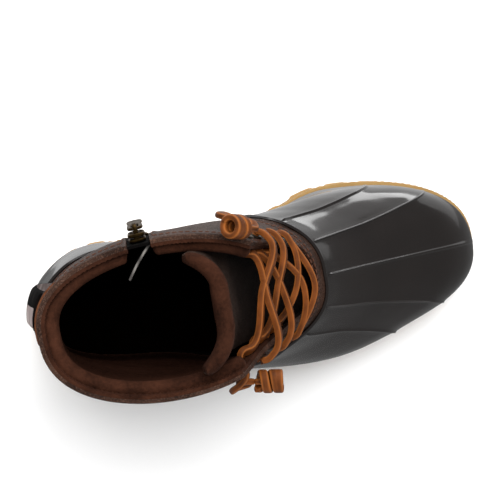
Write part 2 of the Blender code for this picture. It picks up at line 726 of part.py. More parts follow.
def lace_end_route(side):
    # From the top eyelet out and down beside the shaft, and back up to the knot
    sign = 1 if side == "inner" else -1
    lift = EYELET_SEAT + EYELET_FLANGE_THICKNESS + CLEARANCE + LACE_RADIUS
    share = EYELET_SHARES[1]
    edge = float(facing_edge(share, sign > 0)) + EYELET_INSET_DEG
    knot, axis = knot_places()[side]
    points = [leather_point(math.radians(sign * (edge + 2.5)), share, lift)[0]]
    for degrees, height, rise in LACE_END_STOPS[side]:
        points.append(leather_point(math.radians(sign * degrees), height, lift + rise)[0])
    for away in (KNOT_LENGTH / 2 + 0.006, KNOT_LENGTH / 2 + 2.5 * CLEARANCE):
        points.append(np.array(knot - axis * away))
    return through(points, 14)


LACE_END_STOPS = {
    "inner": ((57, 0.905, 0.0030), (61, 0.940, 0.0035), (54, 0.965, 0.0035), (46, 0.975, 0.0040)),
    "outer": ((69, 0.905, 0.0040), (70, 0.865, 0.0050), (65, 0.850, 0.0060)),
}


def build_lace_ends(mats, group):
    for side, (knot, axis) in knot_places().items():
        tube(f"lace_end_{side}", lace_end_route(side), LACE_RADIUS, mats["lace"], group)
        place = Matrix.Translation(knot) @ axis.to_track_quat("Z", "Y").to_matrix().to_4x4()
        barrel = from_bmesh(f"lace_knot_{side}", cylinders([Matrix()], KNOT_RADIUS, KNOT_LENGTH, 12),
                            mats["lace"], group, bevel=0.0015)
        barrel.matrix_world = place


def zip_frame(share):
    # Point on the leather at the middle of the zip, with the ways out, up and across
    angle = math.radians(float(np.interp(share, ZIP_LINE["share"], ZIP_LINE["angle"])))
    point, out = leather_point(angle, share, 0.0)
    above = math.radians(float(np.interp(share + 0.02, ZIP_LINE["share"], ZIP_LINE["angle"])))
    up = leather_point(above, share + 0.02, 0.0)[0] - point if share < 0.97 else zip_frame(0.95)[2]
    out = Vector(out).normalized()
    up = Vector(up)
    up = (up - out * up.dot(out)).normalized()
    return Vector(point), out, up, up.cross(out).normalized()


def zip_strip(name, width, near, far, shares, mat, group, teeth=False):
    # A strip along the zip's line between two depths from the leather's face
    outer, inner = [], []
    for k, share in enumerate(shares):
        point, out, _, across = zip_frame(share)
        high = far - (ZIP_TEETH_THICKNESS * 0.35 if teeth and k % 2 else 0)
        for rows, lift in ((outer, high), (inner, near)):
            rows.append([np.array(point + out * lift + across * (width * side)) for side in (-0.5, 0.5)])
    return wall(name, np.array(outer), np.array(inner), mat, group, closed=False)


def build_zip(mats, group, cutters):
    low, high = ZIP_LINE["share"][0] + 0.02, 0.985
    tape_far = -LEATHER_WALL / 2
    tape = zip_strip("zip_tape", ZIP_TAPE_WIDTH, tape_far - ZIP_TAPE_THICKNESS, tape_far, np.linspace(low, high, 9),
                     mats["tape"], group)
    count = int((high - low) * COLLAR_RISE / ZIP_TOOTH_PITCH) * 2
    near = tape_far + CLEARANCE
    teeth_top = SLIDER_SHARE - SLIDER_LENGTH / COLLAR_RISE * 0.5 - 0.004
    zip_strip("zip_teeth", ZIP_TEETH_WIDTH, near, near + ZIP_TEETH_THICKNESS, np.linspace(low + 0.01, teeth_top, count),
              mats["brass"], group, teeth=True)
    build_slider(mats, group, cutters, near)
    return tape


SLIDER_SHARE = 0.945


def slider_matrix():
    # Local X across the zip, Y up along it and Z out of the leather
    point, out, up, across = zip_frame(SLIDER_SHARE)
    turn = Matrix((across, up, out)).transposed()
    if turn.determinant() < 0:
        turn = Matrix((-across, up, out)).transposed()
    return Matrix.Translation(point) @ turn.to_4x4()


def build_slider(mats, group, cutters, seat):
    # The slider's body with a bridge over it, and the pull tab whose bar lies under the bridge
    place = slider_matrix()
    body_top = seat + SLIDER_THICKNESS
    top = body_top + BRIDGE_HEIGHT
    post = SLIDER_LENGTH * 0.36
    body = from_bmesh("zip_slider", box_mesh([((SLIDER_WIDTH, SLIDER_LENGTH, SLIDER_THICKNESS),
                      Matrix.Translation((0, 0, seat + SLIDER_THICKNESS / 2)))]), mats["brass"], group)
    bridge = box_mesh([((BRIDGE_WIDTH, post * 2 + BRIDGE_WALL, BRIDGE_HEIGHT + 0.001),
                        Matrix.Translation((0, 0, body_top + BRIDGE_HEIGHT / 2 - 0.0005)))])
    arch = from_bmesh("slider_bridge", bridge, None, cutters)
    hole = box_mesh([((BRIDGE_WIDTH * 3, post * 2 - BRIDGE_WALL, BRIDGE_HEIGHT - BRIDGE_WALL),
                      Matrix.Translation((0, 0, body_top + (BRIDGE_HEIGHT - BRIDGE_WALL) / 2)))])
    eye = from_bmesh("bridge_eye", hole, None, cutters)
    for obj in (body, arch, eye):
        obj.matrix_world = place
    boolean(body, arch, "UNION")
    boolean(body, eye, "DIFFERENCE")
    # The tab hangs from its bar, which is the hinge line
    bar_height = body_top + (top - BRIDGE_WALL - body_top) / 2
    hinge = place @ Matrix.Translation((0, 0, bar_height))
    tab = from_bmesh("zip_pull", box_mesh([((PULL_WIDTH, PULL_LENGTH, PULL_THICKNESS),
                     Matrix.Translation((0, PULL_THICKNESS / 2 - PULL_LENGTH / 2, 0)))]), mats["brass"], group)
    window = box_mesh([((PULL_WINDOW_WIDTH, PULL_WINDOW_LENGTH, PULL_THICKNESS * 4),
                        Matrix.Translation((0, -PULL_THICKNESS / 2 - PULL_WINDOW_LENGTH / 2, 0)))])
    cut = from_bmesh("pull_window", window, None, cutters)
    for obj in (tab, cut):
        obj.matrix_world = hinge
    boolean(tab, cut, "DIFFERENCE")


def across_back(share, width, count):
    # Angles of even steps across the back of a level, about the middle of the loop
    ways = {side: abs(form(side * math.pi / 2, share)[1] - PLAN_SHIFT[1]) for side in (1, -1)}
    middle = form(math.radians(BACK_DEG), share)[1] - PLAN_SHIFT[1]
    steps = middle + np.linspace(1, -1, count) * width / 2
    reach = np.where(steps >= 0, ways[1], ways[-1])
    return np.pi - np.arcsin(np.sign(steps) * (np.abs(steps) / reach) ** (1 / END_FULLNESS))


def strip_rows(width, lift, thickness, shares):
    # Outer and inner rows of a strip down the back, its height above the leather given for each share
    outer, inner = [], []
    for share, high in zip(shares, lift):
        out = leather_point(math.radians(BACK_DEG), share, high)[1]
        flat = leather_point(across_back(share, width, 7), share, min(lift))[0] + out * (high - min(lift))
        outer.append(flat + out * thickness)
        inner.append(flat)
    return np.array(outer), np.array(inner)


def back_strip(name, width, lift, thickness, shares, mat, group):
    outer, inner = strip_rows(width, lift, thickness, shares)
    return wall(name, outer, inner, mat, group, closed=False)


def loop_line():
    # Shares of the form along the heel loop, and its height above the leather at each
    turn = np.linspace(0, 1, 13)
    bow = np.sin(np.pi * np.clip((turn - 0.12) / 0.76, 0, 1)) ** 0.8
    seat = CLEARANCE * 2.5 + BACKSTAY_THICKNESS
    return LOOP_TOP - (1 - turn) * LOOP_LENGTH / COLLAR_RISE, seat + LOOP_STAND * bow


def build_back(mats, group):
    shares = np.linspace(0.60, 0.975, 9)
    back_strip("backstay", BACKSTAY_WIDTH, np.full(9, CLEARANCE * 1.5), BACKSTAY_THICKNESS, shares,
               mats["leather"], group)
    shares, lift = loop_line()
    back_strip("heel_loop", LOOP_WIDTH, lift, LOOP_THICKNESS, shares, mats["webbing"], group)


def main():
    global PLAN_SHIFT
    clear_scene()
    PLAN_SHIFT = plan_shift()
    boot = bpy.data.collections.new("duck_boot")
    cutters = bpy.data.collections.new("cutters")
    for collection in (boot, cutters):
        bpy.context.scene.collection.children.link(collection)
    mats = {
        "gum": material("gum_rubber", ORANGE_GUM, 0.55),
        "shell": material("shell_rubber", SHELL_BROWN, 0.12),
        "leather": material("brown_leather", LEATHER_BROWN, 0.5),
        "fleece": material("brown_fleece", FLEECE_BROWN, 0.95),
        "lace": material("rawhide", LACE_TAN, 0.5),
        "brass": material("antique_brass", BRASS, 0.35, 1.0),
        "tape": material("zip_tape_cloth", TAPE_BLACK, 0.8),
        "webbing": material("loop_webbing", WEBBING_GREY, 0.8),
    }
    build_outsole(mats, boot, cutters)
    build_shell(mats, boot)
    build_insole(mats, boot)
    build_shaft(mats, boot, cutters)
    build_tongue(mats, boot)
    build_eyelets(mats, boot)
    build_laces(mats, boot, cutters)
    build_lace_ends(mats, boot)
    build_zip(mats, boot, cutters)
    build_back(mats, boot)
    bpy.context.view_layer.update()


main()
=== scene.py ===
# Duck boot for the right foot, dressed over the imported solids: gum sole, moulded rubber shell,
# grained leather shaft with fleece inside, rawhide laces with barrel knots and an inner side zip.
import math
import bpy
import numpy as np
from mathutils import Matrix


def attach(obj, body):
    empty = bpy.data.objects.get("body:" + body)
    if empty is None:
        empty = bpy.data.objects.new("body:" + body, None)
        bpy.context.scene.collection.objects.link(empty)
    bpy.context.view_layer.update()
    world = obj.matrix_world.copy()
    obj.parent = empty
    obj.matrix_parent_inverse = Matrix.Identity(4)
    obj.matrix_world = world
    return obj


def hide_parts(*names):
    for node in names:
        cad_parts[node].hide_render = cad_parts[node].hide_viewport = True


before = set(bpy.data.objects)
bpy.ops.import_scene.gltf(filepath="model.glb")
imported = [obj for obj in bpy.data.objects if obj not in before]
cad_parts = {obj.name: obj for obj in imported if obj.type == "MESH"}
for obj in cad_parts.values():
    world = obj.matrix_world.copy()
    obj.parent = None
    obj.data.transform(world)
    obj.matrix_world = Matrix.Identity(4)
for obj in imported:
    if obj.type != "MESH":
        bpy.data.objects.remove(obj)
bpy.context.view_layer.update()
print("frame loaded")

# Camera from the fit of the photograph's outlines, as a place and three directions
cameraView = {
    "place": (-0.15057, 0.03000, 0.6917),
    "right": (0.9601, -0.1775, 0.2159),
    "up": (0.1764, 0.9840, 0.0242),
    "lens": 84.72,
    "sensor": 36.0,
}

# The boot's form, as in the part's source: level lines from the sole (share 0) to the collar (1)
bootForm = {
    "length": 0.280, "ballHalf": 0.049, "collarRise": 0.164,
    "soleHeel": 0.020, "soleMiddle": 0.014, "soleToe": 0.020,
    "shift": (-0.1366650, 0.0012008),
    "back": (0.030, 0.016, 0.016, 0.020, 0.022, 0.023, 0.029, 0.030, 0.031, 0.030, 0.026, 0.017, 0.002),
    "front": (0.970, 0.960, 0.935, 0.890, 0.828, 0.757, 0.681, 0.607, 0.546, 0.502, 0.463, 0.432, 0.420),
    "riseBack": (0.0, 0.061, 0.128, 0.201, 0.274, 0.348, 0.421, 0.500, 0.585, 0.677, 0.774, 0.872, 0.970),
    "riseFront": (0.0, 0.061, 0.119, 0.180, 0.235, 0.296, 0.366, 0.450, 0.540, 0.634, 0.738, 0.854, 0.976),
    "inner": (0.890, 0.901, 0.891, 0.868, 0.839, 0.810, 0.790, 0.790, 0.806, 0.814, 0.802, 0.764, 0.701),
    "outer": (0.930, 1.004, 1.023, 0.998, 0.945, 0.880, 0.820, 0.790, 0.752, 0.731, 0.734, 0.757, 0.797),
    "foot": (1.00, 1.00, 1.00, 0.95, 0.85, 0.65, 0.45, 0.30, 0.18, 0.10, 0.05, 0.00, 0.00),
    "station": (-1.00, -0.85, -0.50, -0.10, 0.35, 0.70, 1.00),
    "planInner": (1.26, 1.25, 0.91, 0.67, 1.06, 1.19, 1.27),
    "planOuter": (0.96, 0.85, 0.76, 0.94, 1.06, 1.01, 1.05),
    "endFullness": 0.82,
}


def smoothCurve(x, y, q):
    # Piecewise cubic through (x, y): Hermite basis on each span, with harmonic-mean slopes
    x, y, q = np.asarray(x, float), np.asarray(y, float), np.asarray(q, float)
    step = np.diff(x)
    slope = np.diff(y) / step
    before, after = slope[:-1], slope[1:]
    total = np.where(before + after == 0, 1, before + after)
    between = np.where(before * after > 0, 2 * before * after / total, 0)
    grade = np.concatenate([slope[:1], between, slope[-1:]])
    i = np.clip(np.searchsorted(x, q) - 1, 0, len(x) - 2)
    s, h = (q - x[i]) / step[i], step[i]
    rise = (1 + 2 * s) * (1 - s) ** 2 * y[i] + s * s * (3 - 2 * s) * y[i + 1]
    return rise + s * (1 - s) ** 2 * h * grade[i] + s * s * (s - 1) * h * grade[i + 1]


def ease(x, low, high):
    # 0 below low, 1 above high, and 3s^2 - 2s^3 between
    s = np.clip((x - low) / (high - low), 0, 1)
    return s * s * (3 - 2 * s)


def soleTop(station):
    # Height of the sole's top: a straight line from heel to toe less a parabola
    heel, middle, toe = (bootForm[name] for name in ("soleHeel", "soleMiddle", "soleToe"))
    return heel + (toe - heel) * (1 + station) / 2 - ((heel + toe) / 2 - middle) * (1 - station ** 2)


def formPoint(angle, share):
    # x = middle + half length * cos(angle), y = half width * sin(angle) ^ fullness,
    # z = sole top + rise from back to front; angle from the toe, share from sole to collar
    angle, share = np.broadcast_arrays(np.asarray(angle, float), np.asarray(share, float))
    within = np.clip(share, 0, 1)
    levels = np.linspace(0, 1, len(bootForm["back"]))
    ring = {name: smoothCurve(levels, bootForm[name], within)
            for name in ("back", "front", "riseBack", "riseFront", "inner", "outer", "foot")}
    station, across = np.cos(angle), np.sin(angle)
    inner = across >= 0
    back, front = ring["back"] * bootForm["length"], ring["front"] * bootForm["length"]
    x = (front + back) / 2 + (front - back) / 2 * station
    plan = np.where(inner, smoothCurve(bootForm["station"], bootForm["planInner"], station),
                    smoothCurve(bootForm["station"], bootForm["planOuter"], station))
    outline = ring["foot"] * plan + (1 - ring["foot"])
    half = np.where(inner, ring["inner"], ring["outer"]) * outline * bootForm["ballHalf"]
    y = signedPower(across, bootForm["endFullness"]) * half
    rise = ring["riseBack"] + (ring["riseFront"] - ring["riseBack"]) * (1 + station) / 2
    settle = np.clip(1 - 2 * within, 0, 1)
    base = settle * soleTop(station) + (1 - settle) * (bootForm["soleHeel"] + bootForm["soleToe"]) / 2
    z = base + (rise + np.maximum(share - 1, 0)) * bootForm["collarRise"]
    return np.stack([x + bootForm["shift"][0], y + bootForm["shift"][1], z], -1)


def formNormal(angle, share):
    # Cross product of the differences along the angle and up the share
    near = 0.03
    angle, share = np.broadcast_arrays(np.asarray(angle, float), np.asarray(share, float))
    high = np.clip(share, near, 1 - near)
    along = formPoint(angle + near, high) - formPoint(angle - near, high)
    up = formPoint(angle, high + near) - formPoint(angle, high - near)
    out = np.cross(along, up)
    return out / np.linalg.norm(out, axis=-1, keepdims=True)


def unit(v):
    # Vectors at length 1
    return v / np.linalg.norm(v, axis=-1, keepdims=True)


def signedPower(v, power):
    # sign(v) * |v| ^ power, which squares off a sine or a cosine
    return np.sign(v) * np.abs(v) ** power


def distanceAlong(path):
    # Running length at each point of a path
    return np.concatenate([[0], np.cumsum(np.linalg.norm(np.diff(path, axis=0), axis=1))])


def throughPoints(points, count):
    # Even steps on a cubic through the given points
    points = np.asarray(points, float)
    knots = distanceAlong(points)
    slope = np.gradient(points, knots, axis=0)
    fine = np.linspace(0, knots[-1], count)
    i = np.clip(np.searchsorted(knots, fine) - 1, 0, len(knots) - 2)
    h = (knots[i + 1] - knots[i])[:, None]
    s = (fine - knots[i])[:, None] / h
    line = (1 + 2 * s) * (1 - s) ** 2 * points[i] + s * s * (3 - 2 * s) * points[i + 1]
    return line + s * (1 - s) ** 2 * h * slope[i] + s * s * (s - 1) * h * slope[i + 1]


# Meshes

def addPiece(name, points, faces, materials, faceMaterial=None, corners=None, body="boot"):
    # A mesh from arrays: points (n, 3), faces (m, 4) or a list of such arrays
    groups = faces if isinstance(faces, list) else [faces]
    mesh = bpy.data.meshes.new(name)
    polygons = [polygon for group in groups for polygon in group.tolist()]
    mesh.from_pydata(np.asarray(points).reshape(-1, 3).tolist(), [], polygons)
    for mat in materials:
        mesh.materials.append(mat)
    if faceMaterial is not None:
        mesh.polygons.foreach_set("material_index", np.asarray(faceMaterial, np.int32))
    if corners is not None:
        layer = mesh.uv_layers.new(name="UVMap")
        layer.data.foreach_set("uv", np.asarray(corners, np.float32).ravel())
    mesh.update()
    mesh.shade_smooth()
    mesh.set_sharp_from_angle(angle=math.radians(50))
    piece = bpy.data.objects.new(name, mesh)
    bpy.context.scene.collection.objects.link(piece)
    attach(piece, body)
    return piece


def gridFaces(rows, cols, closedRows=False, closedCols=True, start=0):
    # One quad for each cell of a grid of points
    r = np.arange(rows if closedRows else rows - 1)
    c = np.arange(cols if closedCols else cols - 1)
    r, c = (a.ravel() for a in np.meshgrid(r, c, indexing="ij"))
    r1, c1 = (r + 1) % rows, (c + 1) % cols
    return np.stack([r * cols + c, r * cols + c1, r1 * cols + c1, r1 * cols + c], 1) + start


def cappedFaces(rows, cols):
    # A tube's cells, with both ends closed by rungs from one side to the other
    k = np.arange(cols // 2 - 1)
    rungs = np.stack([k, k + 1, cols - 2 - k, cols - 1 - k], 1)
    return np.concatenate([gridFaces(rows, cols), rungs[:, ::-1], rungs + (rows - 1) * cols])


def gridCorners(rows, cols, size, closedRows=False, closedCols=True):
    # UV of each face corner, in metres along the rows and round the columns
    r = np.arange(rows if closedRows else rows - 1)
    c = np.arange(cols if closedCols else cols - 1)
    r, c = (a.ravel() for a in np.meshgrid(r, c, indexing="ij"))
    u = np.stack([c, c + 1, c + 1, c], 1) / cols * size[0]
    v = np.stack([r, r, r + 1, r + 1], 1) / rows * size[1]
    return np.stack([u, v], -1)


def wallFaces(rows, cols, keep, closedCols=True):
    # Outer cells, inner cells turned round, and a quad wherever a kept cell has no neighbour
    n = rows * cols
    r, c = np.nonzero(keep)

    def at(row, col):
        return row * cols + col % cols

    def cells(mask):
        row, col = np.nonzero(mask)
        return at(row, col), at(row, col + 1), at(row + 1, col + 1), at(row + 1, col)

    a, b, e, f = at(r, c), at(r, c + 1), at(r + 1, c + 1), at(r + 1, c)
    outer, inner = np.stack([a, b, e, f], 1), np.stack([f, e, b, a], 1) + n
    tall = np.pad(keep, ((1, 1), (0, 0)))
    if closedCols:
        left, right = np.roll(keep, 1, 1), np.roll(keep, -1, 1)
    else:
        wide = np.pad(keep, ((0, 0), (1, 1)))
        left, right = wide[:, :-2], wide[:, 2:]
    rims = []
    for mask, i, j in ((~tall[:-2], 1, 0), (~tall[2:], 3, 2), (~left, 0, 3), (~right, 2, 1)):
        q = cells(keep & mask)
        rims.append(np.stack([q[i], q[j], q[j] + n, q[i] + n], 1))
    return outer, inner, np.concatenate(rims)


def wallPiece(name, outer, inner, materials, keep=None, closedCols=True, body="boot"):
    # A closed wall between two matching grids. Materials: outer side, inner side, cut edge
    rows, cols = outer.shape[:2]
    if keep is None:
        keep = np.ones((rows - 1, cols if closedCols else cols - 1), bool)
    faces = wallFaces(rows, cols, keep, closedCols)
    used, order = np.unique(np.concatenate(faces), return_inverse=True)
    points = np.concatenate([outer.reshape(-1, 3), inner.reshape(-1, 3)])[used]
    last = len(materials) - 1
    index = np.repeat([0, min(1, last), min(2, last)], [len(f) for f in faces])
    return addPiece(name, points, order.reshape(-1, 4), materials, index, body=body)


def sweepPoints(path, out, profile):
    # point = path + profile x * sideways + profile y * outwards, along each step of the path
    tangent = unit(np.gradient(path, axis=0))
    sideways = unit(np.cross(tangent, out))
    outwards = np.cross(sideways, tangent)
    profile = np.broadcast_to(profile, (len(path), *profile.shape[-2:]))
    return path[:, None] + profile[..., :1] * sideways[:, None] + profile[..., 1:] * outwards[:, None]


def roundProfile(width, height, sides=16, power=2.4):
    # Superellipse: |x / w| ^ power + |y / h| ^ power = 1
    turn = np.linspace(0, 2 * np.pi, sides, endpoint=False)
    c, s = np.cos(turn), np.sin(turn)
    return np.stack([width / 2 * signedPower(c, 2 / power), height / 2 * signedPower(s, 2 / power)], -1)


cordGirth = 0.015    # metres of UV round a cord


def cordMesh(path, out, profile, start=0):
    # A closed tube along a path, drawn in to a rounded end at both ends
    steps = len(path)
    length = distanceAlong(path)
    reach = np.abs(profile).max() * 0.7
    nearEnd = np.clip(np.minimum(length, length[-1] - length) / reach, 0, 1)
    draw = np.sqrt(np.clip(1 - (1 - nearEnd) ** 2, 0.02, 1))
    points = sweepPoints(path, out, profile * draw[:, None, None])
    sides = profile.shape[-2]
    faces = gridFaces(steps, sides, start=start)
    corners = gridCorners(steps, sides, (cordGirth, length[-1]))
    ends = [np.arange(sides)[::-1][None] + start, np.arange(sides)[None] + start + (steps - 1) * sides]
    return points.reshape(-1, 3), faces, ends, corners


def joinCords(name, cords, profile, materials, body="boot"):
    # Several tubes as one piece; cords is a list of (path, outward direction)
    points, quads, ends, corners = [], [], [], []
    count = 0
    for path, out in cords:
        p, f, e, uv = cordMesh(path, out, profile, count)
        points.append(p)
        quads.append(f)
        ends += e
        corners.append(uv.reshape(-1, 2))
        count += len(p)
    endCorners = np.zeros((sum(e.shape[1] for e in ends), 2))
    return addPiece(name, np.concatenate(points), [np.concatenate(quads), *ends], materials,
                    corners=np.concatenate([*corners, endCorners]), body=body)


def repeatShape(points, faces, centres, axes, sizes=None):
    # Copies of a small shape: centre + axes . point for each; axes (k, 3, 3) hold x, y, z as rows
    scaled = points[None] * (np.ones((len(centres), 1, 1)) if sizes is None else sizes[:, None])
    placed = centres[:, None] + np.einsum("kmi,kij->kmj", scaled, axes)
    steps = np.arange(len(centres))[:, None, None] * placed.shape[1]
    return placed.reshape(-1, 3), (faces[None] + steps).reshape(-1, faces.shape[1])


def pebble(rows=5, sides=6, power=2.0):
    # A unit superellipsoid, one grid with both poles closed by quads that share the pole ring
    lat = np.linspace(-0.5 * np.pi, 0.5 * np.pi, rows + 2)[1:-1][:, None]
    lon = np.linspace(0, 2 * np.pi, sides, endpoint=False)[None]
    bend = 2 / power
    girth, height = signedPower(np.cos(lat), bend), signedPower(np.sin(lat), bend)
    points = np.stack([girth * signedPower(np.cos(lon), bend), girth * signedPower(np.sin(lon), bend),
                       height * np.ones_like(lon)], -1).reshape(-1, 3)
    poles = np.array([[0, 0, -1.0], [0, 0, 1.0]])
    n = len(points)
    body = gridFaces(rows, sides)
    k = np.arange(0, sides, 2)
    low = np.stack([np.full(len(k), n), (k + 2) % sides, k + 1, k], 1)
    high = np.stack([np.full(len(k), n + 1), (rows - 1) * sides + k, (rows - 1) * sides + k + 1,
                     (rows - 1) * sides + (k + 2) % sides], 1)
    return np.concatenate([points, poles]), np.concatenate([body, low, high])


# Materials

def linearColour(code, alpha=1.0):
    # sRGB hex to linear
    parts = [int(code[i:i + 2], 16) / 255 for i in (1, 3, 5)]
    return (*[c / 12.92 if c <= 0.04045 else ((c + 0.055) / 1.055) ** 2.4 for c in parts], alpha)


def addNode(tree, kind, settings=None, links=None):
    # One node with its settings and what is linked into it
    node = tree.nodes.new(kind)
    for key, value in (settings or {}).items():
        if isinstance(key, int) or key in node.inputs:
            node.inputs[key].default_value = value
        else:
            setattr(node, key, value)
    for key, source in (links or {}).items():
        tree.links.new(source, node.inputs[key])
    return node


def newMaterial(name, colour, roughness, **settings):
    # A material with its shader's whole-surface values, the tree, the shader and object coordinates
    mat = bpy.data.materials.new(name)
    mat.use_nodes = True
    tree = mat.node_tree
    shader = tree.nodes["Principled BSDF"]
    shader.inputs["Base Color"].default_value = linearColour(colour)
    shader.inputs["Roughness"].default_value = roughness
    for key, value in settings.items():
        shader.inputs[key.replace("_", " ")].default_value = value
    place = addNode(tree, "ShaderNodeTexCoord").outputs["Object"]
    return mat, tree, shader, place


def connect(tree, shader, **sources):
    # Links into the shader's own sockets, by name
    for key, source in sources.items():
        tree.links.new(source, shader.inputs[key.replace("_", " ")])


def mixColour(tree, factor, low, high):
    # Two hex colours mixed by a factor
    colours = {"data_type": "RGBA", 6: linearColour(low), 7: linearColour(high)}
    return addNode(tree, "ShaderNodeMix", colours, {0: factor}).outputs[2]


def noise(tree, place, scale, detail, roughness=0.5):
    # Cloudy noise, with its scale in waves a metre
    settings = {"Scale": scale, "Detail": detail, "Roughness": roughness}
    return addNode(tree, "ShaderNodeTexNoise", settings, {"Vector": place}).outputs["Fac"]


def ramp(tree, value, low=0.0, high=1.0, least=0.0, most=1.0):
    # The span from low to high stretched onto least to most
    settings = {"From Min": low, "From Max": high, "To Min": least, "To Max": most}
    return addNode(tree, "ShaderNodeMapRange", settings, {"Value": value}).outputs["Result"]


def twoSizes(tree, fine, coarse, share):
    # Fine detail over coarse: fine * share + coarse
    settings = {"operation": "MULTIPLY_ADD", 1: share}
    return addNode(tree, "ShaderNodeMath", settings, {0: fine, 2: coarse}).outputs[0]


def bump(tree, height, strength, distance, under=None):
    # Relief from a height, laid over another relief where there is one
    links = {"Height": height}
    if under is not None:
        links["Normal"] = under
    settings = {"Strength": strength, "Distance": distance}
    return addNode(tree, "ShaderNodeBump", settings, links).outputs["Normal"]


def paintedDepthShade(tree, place, colour, low, high, least):
    # Painted shade, darker with depth in the boot: a colour times a straight ramp of the height
    height = addNode(tree, "ShaderNodeSeparateXYZ", None, {0: place}).outputs[2]
    links = {0: colour, "Scale": ramp(tree, height, low, high, least)}
    return addNode(tree, "ShaderNodeVectorMath", {"operation": "SCALE"}, links).outputs[0]


def mouldedRubber():
    # Natural rubber pressed in a polished mould: near-black brown, wet-looking, slightly uneven gloss
    mat, tree, shader, place = newMaterial("mouldedRubber", "#15110f", 0.16, IOR=1.5, Coat_Weight=0.25,
                                           Coat_Roughness=0.04)
    waves = noise(tree, place, 28.0, 2.0)
    peel = noise(tree, place, 420.0, 3.0)
    relief = bump(tree, peel, 0.10, 0.0001, bump(tree, waves, 0.35, 0.0006))
    connect(tree, shader, Base_Color=mixColour(tree, waves, "#0e0b0a", "#1a1513"),
            Roughness=ramp(tree, waves, 0.35, 0.7, 0.10, 0.24), Normal=relief)
    return mat


def grainedLeather(name, low, high, grain=0.0011, roughness=(0.42, 0.62), depth=0.00028, fade=None):
    # Tumbled cowhide: pebbles a millimetre across with darker creases between, waxed to a low sheen
    mat, tree, shader, place = newMaterial(name, high, roughness[0], Specular_IOR_Level=0.3)
    warp = addNode(tree, "ShaderNodeTexNoise", {"Scale": 300.0, "Detail": 2.0}, {"Vector": place})
    moved = addNode(tree, "ShaderNodeMix", {"data_type": "VECTOR", 0: 0.004},
                    {4: place, 5: warp.outputs["Color"]})
    cells = addNode(tree, "ShaderNodeTexVoronoi", {"Scale": 1 / grain, "feature": "DISTANCE_TO_EDGE"},
                    {"Vector": moved.outputs[1]})
    pebbles = ramp(tree, cells.outputs[0], 0.0, 0.28)
    wear = noise(tree, place, 55.0, 4.0, 0.6)
    speck = noise(tree, place, 900.0, 3.0)
    tone = ramp(tree, twoSizes(tree, pebbles, wear, 0.45), 0.45, 1.05)
    colour = mixColour(tree, tone, low, high)
    # painted shade: where fade is given, the colour darkens lower in the boot by a ramp of the height
    if fade:
        colour = paintedDepthShade(tree, place, colour, *fade)
    gloss = ramp(tree, pebbles, 0.0, 1.0, roughness[1], roughness[0])
    relief = bump(tree, speck, 0.25, depth * 0.5, bump(tree, pebbles, 0.7, depth))
    connect(tree, shader, Base_Color=colour, Roughness=gloss, Normal=relief)
    return mat


def cutEdge():
    # The raw edge of a hide: orange-brown fibre that shows where the leather was cut
    mat, tree, shader, place = newMaterial("rawLeatherEdge", "#5a3420", 0.8)
    fibre = noise(tree, place, 900.0, 4.0)
    connect(tree, shader, Base_Color=mixColour(tree, fibre, "#3a2013", "#6d4128"),
            Normal=bump(tree, fibre, 0.6, 0.0003))
    return mat


def microFleece(name, low, high):
    # Brushed polyester pile: tiny curls about 1.5 mm across that scatter light at the edges
    mat, tree, shader, place = newMaterial(name, high, 1.0, Sheen_Weight=0.06, Sheen_Roughness=0.5,
                                           Specular_IOR_Level=0.15)
    shader.inputs["Sheen Tint"].default_value = linearColour("#a06a55")
    curls = noise(tree, place, 620.0, 4.0, 0.7)
    tufts = noise(tree, place, 90.0, 3.0)
    blend = twoSizes(tree, curls, tufts, 0.6)
    colour = mixColour(tree, ramp(tree, blend, 0.55, 1.05), low, high)
    # painted shade: the fleece's colour falls to 3 % of itself from 0.172 m down to 0.135 m
    connect(tree, shader, Base_Color=paintedDepthShade(tree, place, colour, 0.135, 0.172, 0.03),
            Normal=bump(tree, blend, 0.9, 0.0009))
    return mat


def rawhide():
    # Oiled cowhide lace cut square: tan, darker in the fibre lines that run along it, and its four
    # corners lighter as a painted highlight, by a cosine of four waves round the girth
    mat, tree, shader, place = newMaterial("oiledRawhide", "#5c3619", 0.55, Specular_IOR_Level=0.35)
    along = addNode(tree, "ShaderNodeTexCoord").outputs["UV"]
    stretch = addNode(tree, "ShaderNodeMapping", {"Scale": (900.0, 70.0, 1.0)}, {"Vector": along})
    fibres = noise(tree, stretch.outputs[0], 1.0, 4.0, 0.6)
    stains = noise(tree, place, 110.0, 3.0)
    blend = twoSizes(tree, fibres, stains, 0.6)
    body = mixColour(tree, ramp(tree, blend, 0.5, 1.05), "#2e1608", "#6e3a15")
    around = addNode(tree, "ShaderNodeSeparateXYZ", None, {0: along}).outputs[0]
    waves = {"operation": "MULTIPLY", 1: 8 * math.pi / cordGirth}
    turned = addNode(tree, "ShaderNodeMath", waves, {0: around}).outputs[0]
    corner = addNode(tree, "ShaderNodeMath", {"operation": "COSINE"}, {0: turned}).outputs[0]
    # painted highlight: the colour mixes toward a light tan on the four corners round the girth
    paintedCornerHighlight = ramp(tree, corner, 0.75, -0.9, 0.0, 0.7)
    edges = addNode(tree, "ShaderNodeMix", {"data_type": "RGBA", 7: linearColour("#935626")},
                    {0: paintedCornerHighlight, 6: body})
    connect(tree, shader, Base_Color=edges.outputs[2], Normal=bump(tree, blend, 0.5, 0.00025))
    return mat


def gumRubber():
    # Crude gum rubber, pressed: honey amber, slightly translucent, dusted matt with small pits
    mat, tree, shader, place = newMaterial("gumRubber", "#a8834c", 0.5, IOR=1.52, Subsurface_Weight=0.12,
                                           Subsurface_Radius=(0.004, 0.002, 0.0008), Subsurface_Scale=0.5)
    clouds = noise(tree, place, 45.0, 4.0)
    pits = noise(tree, place, 1100.0, 2.0)
    connect(tree, shader, Base_Color=mixColour(tree, clouds, "#85663a", "#ab8b58"),
            Normal=bump(tree, pits, 0.25, 0.0002))
    return mat


